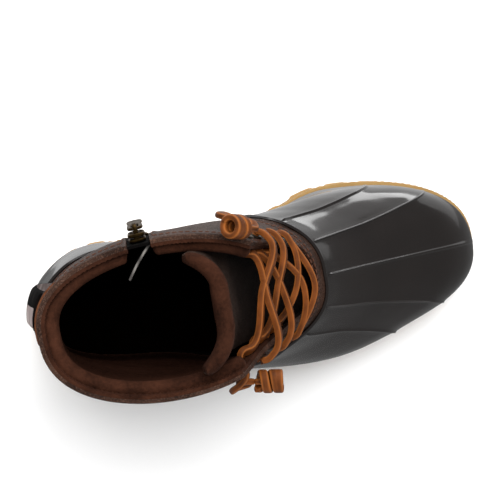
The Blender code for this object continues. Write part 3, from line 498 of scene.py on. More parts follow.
def agedMetal(name, low, high, roughness):
    # Cast zinc or rolled brass: plated, the plating rubbed bright and dark in noise patches
    mat, tree, shader, place = newMaterial(name, high, roughness, Metallic=1.0)
    patches = noise(tree, place, 500.0, 4.0)
    connect(tree, shader, Base_Color=mixColour(tree, patches, low, high),
            Roughness=ramp(tree, patches, 0.0, 1.0, roughness * 0.7, roughness * 1.5))
    return mat


def wovenTape(name, low, high, thread):
    # Plain-woven polyester: two sets of threads as crossed waves, in the piece's own coordinates
    mat, tree, shader, place = newMaterial(name, high, 0.9, Specular_IOR_Level=0.15)
    waves = []
    for direction in ("X", "Z"):
        settings = {"Scale": 0.05 / thread, "Distortion": 0.6, "bands_direction": direction}
        waves.append(addNode(tree, "ShaderNodeTexWave", settings, {"Vector": place}).outputs["Fac"])
    both = addNode(tree, "ShaderNodeMath", {"operation": "MULTIPLY"}, {0: waves[0], 1: waves[1]}).outputs[0]
    connect(tree, shader, Base_Color=mixColour(tree, both, low, high), Normal=bump(tree, both, 0.6, 0.0002))
    return mat


finishes = {
    "shell": mouldedRubber(),
    "leather": grainedLeather("tumbledBrownLeather", "#20140f", "#4e372c"),
    # the tongue leather carries painted shade: darker from 0.182 m down to 0.125 m, to 8 % of its colour
    "tongueLeather": grainedLeather("tongueLeather", "#2c211d", "#5e4c43", grain=0.0009,
                                    roughness=(0.55, 0.7), fade=(0.125, 0.182, 0.08)),
    "edge": cutEdge(),
    "fleece": microFleece("brownFleece", "#1b0e09", "#3e2419"),
    "lace": rawhide(),
    "gum": gumRubber(),
    "eyelet": agedMetal("nickelledBrass", "#332e29", "#6f675b", 0.34),
    "zipMetal": agedMetal("antiqueBrass", "#231a0e", "#6b5430", 0.38),
    "tape": wovenTape("zipTape", "#060505", "#141211", 0.0007),
    "loopFace": wovenTape("loopFace", "#070606", "#151110", 0.0008),
    # the loop's back colour, also laid on part of its face as a patch of painted light
    "loopBack": wovenTape("loopBack", "#8f8280", "#c9bdba", 0.0008),
    "binding": wovenTape("guardBinding", "#403d3b", "#77736f", 0.0008),
    "thread": newMaterial("waxedThread", "#4b2d20", 0.55)[0],
}
print("materials made")


# Sizes of the gum sole, which the shell's foot follows too, and of the shell

gumSole = {
    "lugs": 36, "lugDepth": 0.0032, "lugReach": 0.011, "lugBulge": 0.0010, "weltThickness": 0.0045,
    "toeSpring": 0.009, "archRise": 0.003, "ripples": 150, "rippleDepth": 0.00028,
    "weltAngle": (-180, -90, 0, 15, 45, 70, 85, 100, 180),
    "weltOut": (0.0004, 0.0004, 0.0020, 0.0028, 0.0034, 0.0046, 0.0030, 0.0006, 0.0004),
    "bars": 15, "barWidth": 0.008,
}

rubberShell = {
    "wall": 0.0026,
    "ribsAtSole": (-58, -38, 0, 38, 58), "ribsAtTop": (-44, -21, 0, 21, 47),   # degrees from the toe
    "ribHeight": 0.0014, "ribWidth": 0.5,      # metres, degrees
    "panelHollow": 0.0005, "weltInset": 0.0028, "ballFlare": 0.0014, "seamDrop": 0.0008,
    "beadHeight": 0.0006, "beadHalf": 0.0007, "rimTaper": 0.0015,
    "topAngle": (0, 30, 55, 80, 110, 145, 180), "topShare": (0.672, 0.660, 0.625, 0.500, 0.365, 0.430, 0.440),
}


def shellTop(angle):
    # Share of the form at which the shell ends, at an angle in radians
    turned = np.abs((np.degrees(angle) + 180) % 360 - 180)
    return smoothCurve(rubberShell["topAngle"], rubberShell["topShare"], turned)


def makeShell():
    # Outer = form + normal * (ribs + bead); a rib is a narrow Gaussian on a wide one across the
    # column angle, and the panels between dip by sin^2. The profile runs up outside, over the
    # rolled rim and down inside.
    s = rubberShell
    near = np.concatenate([rib + np.linspace(-2.4, 2.4, 31) for rib in s["ribsAtSole"]])
    even = np.linspace(-180, 180, 480, endpoint=False)
    columns = np.unique(np.round(np.concatenate([even, near]), 4))
    anchors = (-180, -90, *s["ribsAtSole"], 90, 180)
    tops = (-180, -86, *s["ribsAtTop"], 86, 180)
    atSole, atTop = np.radians(columns), np.radians(np.interp(columns, anchors, tops))
    climb = np.concatenate([np.linspace(0, 0.92, 42), np.linspace(0.92, 1.0, 28)[1:]])[:, None]
    angles = atSole + (atTop - atSole) * climb
    shares = shellTop(atTop) * climb
    base, out = formPoint(angles, shares), formNormal(angles, shares)
    distance = np.abs(columns[:, None] - np.array(s["ribsAtSole"])).min(1)
    crest = 0.7 * np.exp(-(distance / s["ribWidth"]) ** 2)
    crest = crest + 0.3 * np.exp(-(distance / (4 * s["ribWidth"])) ** 2)
    onToe = ease(np.abs(columns), 64, 56)
    between = -np.sin(np.clip(distance / 10, 0, 1) * np.pi / 2) ** 2 * onToe
    lift = ease(climb, 0.02, 0.40) * ease(climb, 0.99, 0.96) * crest * s["ribHeight"]
    lift = lift + ease(climb, 0.15, 0.50) * ease(climb, 0.98, 0.90) * between * s["panelHollow"]
    tall = np.linalg.norm(np.diff(base, axis=0), axis=-1).sum(0)
    down = (1 - climb) * tall
    roll = np.sqrt(np.clip(1 - ((down - s["beadHalf"]) / s["beadHalf"]) ** 2, 0, 1))
    edge = np.interp((columns + 180) % 360 - 180, gumSole["weltAngle"], gumSole["weltOut"])
    flare = np.clip(edge - s["weltInset"] + s["ballFlare"] * ease(columns, 60, 80), 0, 1)
    foot = -0.0002 * ease(climb, 0.05, 0.0) + flare * ease(climb, 0.30, 0.0)
    outer = base + out * (lift + roll * s["beadHeight"] + foot)[..., None]
    outer[0, :, 2] = soleTop(np.cos(atSole)) - s["seamDrop"]
    inner = base - out * (s["wall"] - s["rimTaper"] * ease(down, 0.006, 0.0))[..., None]
    inner[0, :, 2] = outer[0, :, 2]
    # the rim turns over in a half circle between the outer and inner walls
    rim = np.linspace(0, np.pi, 9)[1:-1][:, None, None]
    upward = unit(base[-1] - base[-3])
    middle, apart = (outer[-1] + inner[-1]) / 2, outer[-1] - inner[-1]
    radius = np.linalg.norm(apart, axis=-1)[:, None] / 2
    turn = middle + unit(apart) * radius * np.cos(rim) + upward * radius * 0.8 * np.sin(rim)
    points = np.concatenate([outer, turn, inner[::-3]])
    faces = gridFaces(len(points), len(columns), closedRows=True)
    shell = addPiece("rubberShell", points, faces, [finishes["shell"]])
    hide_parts("rubber_shell")
    return shell


makeShell()
print("shell made")


# Gum sole's shape

def soleOutline(angles, out):
    # Plan of the feather line moved outwards along its own normal
    line = formPoint(angles, 0 * angles)[:, :2]
    along = unit((formPoint(angles + 0.02, 0 * angles) - formPoint(angles - 0.02, 0 * angles))[:, :2])
    return line + np.reshape(out, (-1, 1)) * np.stack([along[:, 1], -along[:, 0]], -1)


def groundLine(station):
    # Tread height: flat under heel and ball, an arch between them and a sprung toe
    x = (station + 1) / 2
    arch = gumSole["archRise"] * smoothCurve((0, 0.28, 0.42, 0.56, 1), (0, 0, 1, 0, 0), x)
    return arch + gumSole["toeSpring"] * smoothCurve((0, 0.78, 0.90, 1), (0, 0, 0.35, 1), x)


def stationAt(x):
    # Place along the sole, from -1 at the heel to 1 at the toe
    back, front = bootForm["back"][0] * bootForm["length"], bootForm["front"][0] * bootForm["length"]
    return np.clip((x - bootForm["shift"][0] - (back + front) / 2) / ((front - back) / 2), -1, 1)


def makeSole():
    # Rings round the sole from the middle of the tread to the middle of the top. A lug is a smooth
    # pulse round the angle, and the welt's side ripples as a cosine.
    g = gumSole
    n = g["lugs"] * 16
    angles = np.linspace(0, 2 * np.pi, n, endpoint=False) + 0.5 * np.pi / n
    station = np.cos(angles)
    phase = (angles / (2 * np.pi) * g["lugs"]) % 1
    lug = ease(phase, 0.02, 0.12) * ease(phase, 0.74, 0.62)
    top, ground = soleTop(station), groundLine(station)
    under = ground + g["lugDepth"]
    notch = ground + g["lugDepth"] * (1 - lug)
    edge = np.interp((np.degrees(angles) + 180) % 360 - 180, g["weltAngle"], g["weltOut"])
    ripple = g["rippleDepth"] * np.cos(angles * g["ripples"])
    bulge = edge + g["lugBulge"] * lug
    weltFoot = top - g["weltThickness"]
    lowSide = np.minimum(under + 0.001, weltFoot - 0.001)
    reach = g["lugReach"]

    def ring(out, height):
        return np.column_stack([soleOutline(angles, out), height])

    def middle(share, flat):
        line = soleOutline(angles, -reach - 0.001 + 0 * angles)
        low = np.column_stack([line[:, 0] * (1 - 0.02 * (1 - share)), line[:, 1] * share])
        along = stationAt(low[:, 0])
        return np.column_stack([low, soleTop(along) if flat else groundLine(along) + g["lugDepth"]])

    rings = [
        middle(0.2, False), middle(0.6, False), ring(-reach - 0.001, under), ring(-reach, under - 0.0004),
        ring(-reach + 0.0006, notch), ring(-0.004, notch), ring(bulge - 0.0012, notch),
        ring(bulge - 0.0003, notch + 0.0003), ring(bulge, notch + 0.0011), ring(bulge, lowSide - 0.0002),
        ring(bulge - 0.0006, lowSide + 0.0003), ring(edge - 0.0014, lowSide + 0.0007),
        ring(edge - 0.0016, (lowSide + weltFoot) / 2 + 0.0003), ring(edge - 0.0014, weltFoot),
        ring(edge - 0.0004, weltFoot + 0.0001), ring(edge + ripple * 0.6, weltFoot + 0.0007),
        ring(edge + ripple, (weltFoot + top) / 2), ring(edge + ripple * 0.6, top - 0.0009),
        ring(edge - 0.0003, top - 0.0002), ring(edge - 0.0012, top), ring(-0.0013 + 0 * edge, top),
        ring(-0.0045 + 0 * edge, top), middle(0.6, True), middle(0.2, True)]
    faces = cappedFaces(len(rings), n)
    # fleece colour on the faces inside the boot, which show round the footbed; at this depth the fleece's
    # painted shade makes them near black
    board = np.zeros(len(faces), int)
    board[(len(rings) - 4) * n:(len(rings) - 1) * n] = 1
    board[-(n // 2 - 1):] = 1
    sole = addPiece("gumSole", np.stack(rings), faces, [finishes["gum"], finishes["fleece"]], board)
    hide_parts("outsole")
    return sole


def makeTreadBars():
    # Rounded bars across the tread's middle: superellipsoids, sunk a little into the sole
    g = gumSole
    line = soleOutline(np.radians(np.arange(0, 360, 2.0)), -g["lugReach"] - 0.003)
    places = np.linspace(line[:, 0].min() + g["barWidth"], line[:, 0].max() - g["barWidth"], g["bars"])
    near = np.abs(line[None, :, 0] - places[:, None]) < g["barWidth"] * 0.75
    low = np.where(near & (line[:, 1] < 0), line[:, 1], -1).max(1)
    high = np.where(near & (line[:, 1] > 0), line[:, 1], 1).min(1)
    depth = g["lugDepth"] + 0.0018
    ground = groundLine(stationAt(places))
    centres = np.column_stack([places, (low + high) / 2, ground + depth / 2])
    even = np.ones(len(places))
    sizes = np.column_stack([even * g["barWidth"] / 2, (high - low) / 2, even * depth / 2])
    points, faces = pebble(16, 32, 9.0)
    axes = np.repeat(np.eye(3)[None], len(places), 0)
    placed, quads = repeatShape(points, faces, centres, axes, sizes)
    return addPiece("treadBars", placed, quads, [finishes["gum"]])


makeSole()
makeTreadBars()
print("sole made")


# Leather shaft

leatherShaft = {
    "outerWall": 0.0018, "wall": 0.0030, "step": 0.0010, "tuckClearance": 0.0010, "tuck": 0.07,
    "facingShare": (0.700, 1.0), "facingInner": (18, 43), "facingOuter": (18, 61),   # degrees
    "throatRound": 0.030,
    "zipShare": (0.42, 1.0), "zipAngle": (108, 98), "zipWidth": 0.0108,
    "creaseDepth": 0.0009, "slump": 0.0008,
}


def facingEdge(share, inner):
    # Degrees from the toe to the leather's front edge
    s = leatherShaft
    return np.where(inner, np.interp(share, s["facingShare"], s["facingInner"]),
                    np.interp(share, s["facingShare"], s["facingOuter"]))


def zipLine(share):
    # Degrees from the toe to the middle of the zip
    return np.interp(share, leatherShaft["zipShare"], leatherShaft["zipAngle"])


def zipHalf(share):
    # Half the slot in degrees, from its width and the girth at each share
    line, level = zipLine(share), np.minimum(share, 0.98)
    span = formPoint(np.radians(line + 1), level) - formPoint(np.radians(line - 1), level)
    return leatherShaft["zipWidth"] / np.linalg.norm(span, axis=-1)


def shaftAngle(column, share):
    # Column 30 follows the facing's edge, 100 and 112 the slot's edges, 180 is the back
    column, share = np.broadcast_arrays(np.asarray(column, float), np.asarray(share, float))
    facing = facingEdge(share, column >= 0)
    before, after = zipLine(share) - zipHalf(share), zipLine(share) + zipHalf(share)
    size = np.abs(column)
    middle = facing + (size - 30) / 70 * (before - facing)
    slot = before + (size - 100) / 12 * (after - before)
    back = after + (size - 112) / 68 * (180 - after)
    rest = np.where(size < 100, middle, np.where(size < 112, slot, back))
    return np.radians(np.sign(column) * np.where(size < 30, size / 30 * facing, rest))


def leatherDepth(angle, share):
    # Inside the shell the leather lies behind its wall; above it comes out to nearly the form
    s = leatherShaft
    blend = ease(share, shellTop(angle) - 0.045, shellTop(angle) + 0.005)
    return (rubberShell["wall"] + s["tuckClearance"]) * (1 - blend) + s["step"] * blend


def leatherPoint(angle, share, lift):
    # A point above the leather's outer face, and the way out of it
    angle, share = np.broadcast_arrays(np.asarray(angle, float), np.asarray(share, float))
    out = formNormal(angle, share)
    return formPoint(angle, share) + out * (np.asarray(lift) - leatherDepth(angle, share))[..., None], out


def shaftCreases(angle, share):
    # Soft troughs where the ankle bends: sine folds that run round the instep and fade to the back
    degrees = np.degrees(angle)
    side = np.exp(-((np.abs(degrees) - 62) / 30) ** 2)
    folds = np.sin(share * 95 + 1.7 * np.cos(angle * 3) + 0.6 * np.sin(degrees * 0.11))
    low = np.exp(-((share - 0.60) / 0.11) ** 2)
    slump = leatherShaft["slump"] * np.sin(degrees * 0.045 + share * 9) * ease(share, 0.62, 0.8)
    return leatherShaft["creaseDepth"] * side * low * np.minimum(folds, 0.35) + slump * ease(share, 1.0, 0.9)


def shaftGrid(columns, rowsBelow, rowsAbove):
    # Rows run from the tucked foot to the throat's U and on to the collar; the U is a half ellipse
    s = leatherShaft
    throat = s["facingShare"][0] + s["throatRound"] * (1 - np.sqrt(np.clip(1 - (columns / 30) ** 2, 0, 1)))
    split = np.where(np.abs(columns) <= 30, throat, s["facingShare"][0] + s["throatRound"])
    foot = shellTop(shaftAngle(columns, 0.6)) - s["tuck"]
    lower = foot + (split - foot) * np.linspace(0, 1, rowsBelow)[:, None]
    upper = split + (1 - split) * np.linspace(0, 1, rowsAbove)[1:, None]
    shares = np.concatenate([lower, upper])
    return shaftAngle(columns, shares), shares


def makeShaft():
    # The wall between two grids on the form, with cells left out at the throat and the zip's slot,
    # and a fleece wall inside it whose pile is a product of two sines
    s = leatherShaft
    rowsBelow, rowsAbove = 30, 60
    columns = np.unique(np.concatenate([np.linspace(-180, 180, 361)[:-1], [-30, 30, 100, 112]]))
    angles, shares = shaftGrid(columns, rowsBelow, rowsAbove)
    out = formNormal(angles, shares)
    level = shaftCreases(angles, shares) - leatherDepth(angles, shares)
    outer = formPoint(angles, shares) + out * level[..., None]
    seam = outer - out * s["outerWall"]
    inner = outer - out * s["wall"]
    keep = np.ones((len(shares) - 1, len(columns)), bool)
    front = (columns >= -30) & (columns < 30)
    keep[rowsBelow - 1:, front] = False
    slotRow = int(np.argmin(np.abs(shares[:, np.argmin(np.abs(columns - 106))] - s["zipShare"][0])))
    slot = (columns >= 100) & (columns < 112)
    keep[slotRow:, slot] = False
    sides = [finishes["leather"], finishes["fleece"], finishes["leather"]]
    shell = wallPiece("leatherShaft", outer, seam, sides, keep)
    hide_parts("leather_shaft")
    pile = 0.00035 * np.sin(angles * 190 + np.sin(shares * 300)) * np.sin(shares * 260)
    lining = wallPiece("fleeceLining", seam - out * 0.00005, inner - out * (pile + 0.0004)[..., None],
                       [finishes["fleece"]], keep)
    return shell


# what finishes the collar: share of the form, metres behind the leather's face, width and height
collarRolls = {
    "collarBinding": {"share": 0.992, "depth": 0.0012, "size": (0.0034, 0.0034), "finish": "leather"},
    "collarPadding": {"share": 0.972, "depth": 0.0050, "size": (0.0064, 0.0070), "finish": "fleece"},
}


def makeCollarRoll(name):
    # A soft roll along the collar's edge: a superellipse carried along the collar line
    share, depth = collarRolls[name]["share"], collarRolls[name]["depth"]
    cords = []
    for low, high in ((30.5, 99.0), (113.0, 329.5)):
        columns = np.linspace(low, high, 200)
        columns = np.where(columns > 180, columns - 360, columns)
        angle = shaftAngle(columns, share)
        cords.append(leatherPoint(angle, np.full(200, share), -depth))
    profile = roundProfile(*collarRolls[name]["size"], 14, 2.2)
    roll = joinCords(name, cords, profile, [finishes[collarRolls[name]["finish"]]])


makeShaft()
makeCollarRoll("collarBinding")
makeCollarRoll("collarPadding")
print("shaft made")


# Facings with their eyelets

facings = {
    "width": 15.0, "thickness": 0.00042, "foot": 0.735,      # width in degrees
    "insetDegrees": 8.5, "eyeletShare": (0.780, 0.930), "rows": 4,
    "seat": 0.00055, "flange": 0.0041, "flangeThickness": 0.0007, "barrel": 0.0030, "bore": 0.0023,
    "barrelDepth": 0.0024,
}


def facingWidth(share):
    # Degrees across the strip, narrower at its foot and at the collar
    taper = 0.82 + 0.18 * ease(share, facings["foot"], 0.82)
    return facings["width"] * taper * (1 - 0.5 * ease(share, 0.93, 1.0))


def makeFacings():
    # A thin strip of leather round each front edge, from the edge to a soft curve behind the eyelets
    for name, side in (("facingInner", 1), ("facingOuter", -1)):
        share = np.linspace(facings["foot"], 0.985, 70)[:, None]
        across = np.linspace(0.0, 1.0, 26)[None]
        degrees = facingEdge(share, side > 0) + 0.3 + across * facingWidth(share)
        angle = np.radians(side * degrees)
        crown = facings["thickness"] * np.sqrt(np.clip(1 - (2 * np.abs(across - 0.5)) ** 16, 0.05, 1))
        level = shaftCreases(angle, share + 0 * angle)
        top = leatherPoint(angle, share, level + crown)[0]
        foot = leatherPoint(angle, share, level - 0.0004)[0]
        if side < 0:
            top, foot = top[:, ::-1], foot[:, ::-1]
        sides = [finishes["leather"], finishes["leather"], finishes["edge"]]
        piece = wallPiece(name, top, foot, sides, closedCols=False)


def eyeletSpots():
    # Centre and outward direction of each eyelet, bottom to top, inner side first
    spots = []
    for side in (1, -1):
        for share in np.linspace(*facings["eyeletShare"], facings["rows"]):
            angle = math.radians(side * (float(facingEdge(share, side > 0)) + facings["insetDegrees"]))
            spots.append(leatherPoint(angle, share, 0.0))
    return spots


def makeEyelets():
    # Turned rings: radius and height round a rolled flange, spun about the outward direction
    f = facings
    top = f["seat"] + f["flangeThickness"]
    roll = np.linspace(0, np.pi, 9)
    middle, half = (f["bore"] + f["flange"]) / 2, (f["flange"] - f["bore"]) / 2
    height = f["seat"] + 0.0001 + (top - f["seat"]) * np.sin(roll)
    flange = np.stack([middle + half * np.cos(roll), height], 1)
    barrel = [[f["bore"], 0.0], [f["bore"], -f["barrelDepth"]], [f["barrel"], -f["barrelDepth"]],
              [f["barrel"], f["seat"]], [f["flange"], f["seat"] - 0.0001]]
    profile = np.concatenate([flange, barrel])
    turn = np.linspace(0, 2 * np.pi, 28, endpoint=False)
    ring = np.stack([profile[:, :1] * np.cos(turn), profile[:, :1] * np.sin(turn),
                     np.repeat(profile[:, 1:], 28, 1)], -1).reshape(-1, 3)
    faces = gridFaces(len(profile), 28, closedRows=True)[:, ::-1]
    centres, axes = [], []
    for point, out in eyeletSpots():
        side = unit(np.cross(out, (0, 0, 1.0)))
        centres.append(point)
        axes.append([side, np.cross(out, side), out])
    points, quads = repeatShape(ring, faces, np.array(centres), np.array(axes))
    rings = addPiece("eyelets", points, quads, [finishes["eyelet"]])
    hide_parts(*[f"eyelet_{side}_{row}" for side in ("inner", "outer") for row in (1, 2, 3, 4)])
    return rings


makeFacings()
makeEyelets()
print("facings made")


# Tongue

tonguePad = {"spreadShare": (0.58, 0.70, 1.0), "spreadAngle": (34, 52, 79), "setBack": 0.024, "behind": 0.0076,
             "thickness": (0.0045, 0.0075), "from": 0.585, "to": 1.055}


def tongueBase(across, share, depth):
    # The form inside the shaft, set back by a parabola across that grows up the tongue
    angle = np.radians(across * np.interp(share, tonguePad["spreadShare"], tonguePad["spreadAngle"]))
    points = formPoint(angle, share) - formNormal(angle, share) * (tonguePad["behind"] + depth)[..., None]
    sag = smoothCurve((0.58, 0.66, 0.80, 1.08), (0.0, 0.2, 0.95, 1.0), share)
    points[..., 0] -= tonguePad["setBack"] * sag * (1 - across ** 2)
    return points


def makeTongue():
    # Round each level: across = cos ^ 0.45 and depth = sin ^ 0.5, a slab with rounded edges whose
    # thickness draws in as a quarter circle at the top
    t = tonguePad
    rows, cols = 90, 120
    tip = 0.95 + 0.05 * np.sin(np.linspace(0, np.pi / 2, 15)[1:])
    climb = np.concatenate([np.linspace(0, 0.95, rows - 14), tip])[:, None]
    turn = (np.linspace(0, 2 * np.pi, cols, endpoint=False) + np.pi / cols)[None]
    share = t["from"] + (t["to"] - t["from"]) * climb + 0 * turn
    closing = np.sqrt(np.clip(1 - ((climb - 0.95) / 0.05).clip(0, 1) ** 2, 0.02, 1))
    closing = closing * np.sqrt(np.clip(climb / 0.02, 0.15, 1))
    across = signedPower(np.cos(turn), 0.45) * (0.985 + 0.015 * closing)
    thickness = t["thickness"][0] + (t["thickness"][1] - t["thickness"][0]) * climb
    puff = 1 + 0.10 * np.cos(across * np.pi / 2) + 0.05 * np.sin(climb * 34)
    depth = thickness / 2 * (1 - signedPower(np.sin(turn), 0.5) * closing * puff)
    points = tongueBase(across, share, depth)
    row, col = np.divmod(np.arange((rows - 1) * cols), cols)
    fleece = (np.sin(turn[0])[col] < 0.05) | (climb[row, 0] > 0.952)
    caps = cols // 2 - 1
    index = np.concatenate([fleece.astype(int), np.zeros(caps, int), np.ones(caps, int)])
    sides = [finishes["tongueLeather"], finishes["fleece"]]
    pad = addPiece("tonguePad", points, cappedFaces(rows, cols), sides, index)
    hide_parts("tongue")
    return pad


makeTongue()
print("tongue made")


# Laces

rawhideLace = {
    "width": 0.0045, "height": 0.0031, "lift": 0.0037, "sides": 20,
    "bow": (0.0085, 0.0055, 0.0015, -0.0010), "rise": 0.003,     # how far the middles lie forward and up
}


def eyelet(side, row, deg=0.0, share=0.0, lift=0.0):
    # A place measured from an eyelet: degrees outwards, share upwards and height off the leather
    level = float(np.linspace(*facings["eyeletShare"], facings["rows"])[row - 1])
    degrees = float(facingEdge(level, side > 0)) + facings["insetDegrees"] + deg
    return leatherPoint(math.radians(side * degrees), level + share, lift)[0]


def laceRun(low, high, layer, under):
    # Up through one eyelet and over its facing's edge, across the throat with a slack bow, and
    # either over the other edge or up through the other eyelet from inside
    (sideA, rowA), (sideB, rowB) = low, high
    r = rawhideLace
    over = ((0.6, 0, -0.0055), (0.2, 0, -0.001), (-0.6, 0.002, 0.0026), (-3.5, 0.006, r["lift"]),
            (-9.0, 0.012, r["lift"] - 0.0005))
    inside = ((-8.0, -0.006, -0.0062), (-1.5, 0, -0.0066), (0.3, 0, -0.0042))
    start = [eyelet(sideA, rowA, *stop) for stop in over]
    finish = [eyelet(sideB, rowB, *stop) for stop in (inside if under else over[::-1])]
    forward = r["bow"][rowA if under else 0] + 0.0015 * layer
    middle = (start[-1] + finish[0]) / 2 + (forward, 0.003 * (layer - 1), r["rise"])
    return throughPoints([*start, middle, *finish], 90)


def outwardAlong(path):
    # Ways out of the throat at each point of a lace: forward and up, away from the shaft's middle
    away = path - np.array([-0.085, 0.003, 0]) * (1, 1, 0) - np.array([0, 0, 1]) * path[:, 2:]
    return unit(away + (0, 0, 0.025))


def makeLaces():
    # A straight bar over the lowest eyelets and three crossings above it
    runs = [((1, 1), (-1, 1), 0, False)]
    for row in (1, 2, 3):
        runs.append(((1, row), (-1, row + 1), 1, True))
        runs.append(((-1, row), (1, row + 1), 2, True))
    cords = []
    for low, high, layer, under in runs:
        path = laceRun(low, high, layer, under)
        cords.append((path, outwardAlong(path)))
    profile = roundProfile(rawhideLace["width"], rawhideLace["height"], rawhideLace["sides"], 5.0)
    laces = joinCords("laceCrossings", cords, profile, [finishes["lace"]])
    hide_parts("lace_crossings")
    return laces


barrelKnots = {
    "radius": 0.0060, "length": 0.014, "turns": 3.2, "wrapInset": 0.0019,
    "Inner": {"side": 1, "degrees": 54, "share": 1.040, "lift": 0.0045, "axis": (-0.70, 0.12, 0.70),
              "stops": ((57, 0.905, 0.0030), (61, 0.940, 0.0035), (54, 0.965, 0.0035), (46, 0.975, 0.0040))},
    "Outer": {"side": -1, "degrees": -54, "share": 0.895, "lift": 0.0120, "axis": (0.95, -0.15, 0.25),
              "stops": ((69, 0.905, 0.0040), (70, 0.865, 0.0050), (65, 0.850, 0.0060))},
}


def laceEndPath(knot):
    # Up through the top eyelet, down beside the shaft and back up into the knot, as in the source
    side, lift = knot["side"], facings["seat"] + facings["flangeThickness"] + 0.0003 + 0.0022
    middle = leatherPoint(math.radians(knot["degrees"]), knot["share"], knot["lift"])[0]
    axis = unit(np.array(knot["axis"], float))
    points = [eyelet(side, 4, 0.2, 0, -0.0005), eyelet(side, 4, 1.0, 0.0, lift * 0.75)]
    for degrees, share, rise in knot["stops"]:
        points.append(leatherPoint(math.radians(side * degrees), share, lift + rise)[0])
    for away in (barrelKnots["length"] / 2 + 0.006, barrelKnots["length"] / 2 - 0.001):
        points.append(middle - axis * away)
    return throughPoints(points, 60), middle, axis


def makeLaceEnds():
    # A barrel knot is the lace wound round itself: a helix about the axis whose last turn lies
    # flat, with the lace's own core inside and the far end hollow
    r = rawhideLace
    profile = roundProfile(r["width"] * 0.96, r["height"] * 0.96, r["sides"], 3.2)
    for name in ("Inner", "Outer"):
        knot = barrelKnots[name]
        path, middle, axis = laceEndPath(knot)
        away = formNormal(math.radians(knot["degrees"]), knot["share"])
        out = unit(np.gradient(path, axis=0)[:, [1, 2, 0]] * 0.2 + away)
        piece = joinCords("laceEnd" + name, [(path, out)], profile, [finishes["lace"]])
        across = unit(np.cross(axis, (0, 0, 1.0)))
        third = np.cross(axis, across)
        turn = np.linspace(0, 2 * np.pi * barrelKnots["turns"], 110)
        wide = barrelKnots["radius"] - barrelKnots["wrapInset"]
        along = np.interp(np.linspace(0, 1, 110), (0, 0.62, 1), (-0.36, 0.32, 0.36)) * barrelKnots["length"]
        spin = across * np.cos(turn)[:, None] + third * np.sin(turn)[:, None]
        coil = middle + axis * along[:, None] + spin * wide
        core = middle + axis * np.linspace(-0.5, 0.05, 24)[:, None] * barrelKnots["length"]
        wrap = joinCords("laceKnot" + name, [(coil, spin), (core, np.repeat(across[None], 24, 0))],
                         profile, [finishes["lace"]])
        low = name.lower()
        for part, node in ((piece, "lace_end_" + low), (wrap, "lace_knot_" + low)):
            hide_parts(node)


makeLaces()
makeLaceEnds()
print("laces made")


# Side zip

sideZip = {"tapeWidth": 0.0104, "tapeThickness": 0.0012, "teethPitch": 0.0021, "sliderShare": 0.945,
           "tooth": (0.0019, 0.00062, 0.0010), "stagger": 0.0009,
           "sliderLength": 0.0110, "sliderWidth": 0.0079, "sliderThickness": 0.0042, "bridgeHeight": 0.0042,
           "pullLength": 0.024, "pullWidth": 0.0075, "pullThickness": 0.0015}


def zipPlace(share):
    # Point on the leather at the middle of the zip, with the ways across, up and out
    share = np.atleast_1d(np.asarray(share, float))
    point, out = leatherPoint(np.radians(zipLine(share)), share, 0.0 * share)
    low = np.minimum(share, 0.95)
    here, ahead = (leatherPoint(np.radians(zipLine(level)), level, 0.0 * level)[0]
                   for level in (low, low + 0.02))
    up = ahead - here
    up = unit(up - out * (up * out).sum(-1, keepdims=True))
    return point, unit(np.cross(up, out)), up, out


def makeZip():
    # The tape is a thin wall along the slot, halfway through the leather
    z = sideZip
    share = np.linspace(leatherShaft["zipShare"][0] + 0.008, 0.985, 60)
    point, across, up, out = zipPlace(share)
    far = -leatherShaft["wall"] / 2
    sides = np.linspace(-0.5, 0.5, 9)[None, :, None] * z["tapeWidth"]
    top = point[:, None] + across[:, None] * sides + out[:, None] * far
    under = top - out[:, None] * z["tapeThickness"]
    tape = wallPiece("zipTape", top, under, [finishes["tape"]], closedCols=False)
    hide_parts("zip_tape")
    # teeth: one bead-shaped tooth per pitch, alternating sides, closed below the slider
    low, high = leatherShaft["zipShare"][0] + 0.03, z["sliderShare"] - 0.038
    count = int((high - low) * bootForm["collarRise"] / z["teethPitch"]) * 2
    share = np.linspace(low, high, count)
    point, across, up, out = zipPlace(share)
    swap = np.where(np.arange(count) % 2, 1.0, -1.0)[:, None]
    tooth, faces = pebble(5, 8, 4.0)
    centres = point + across * swap * z["stagger"] + out * (far + z["stagger"])
    axes = np.stack([across, up, out], 1)
    placed, quads = repeatShape(tooth * z["tooth"], faces, centres, axes)
    teeth = addPiece("zipTeeth", placed, quads, [finishes["zipMetal"]])
    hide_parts("zip_teeth")


def sliderFrame():
    # The slider's place on the zip, and its across, up and out as rows
    point, across, up, out = (a[0] for a in zipPlace(sideZip["sliderShare"]))
    return point, np.stack([across, up, out])


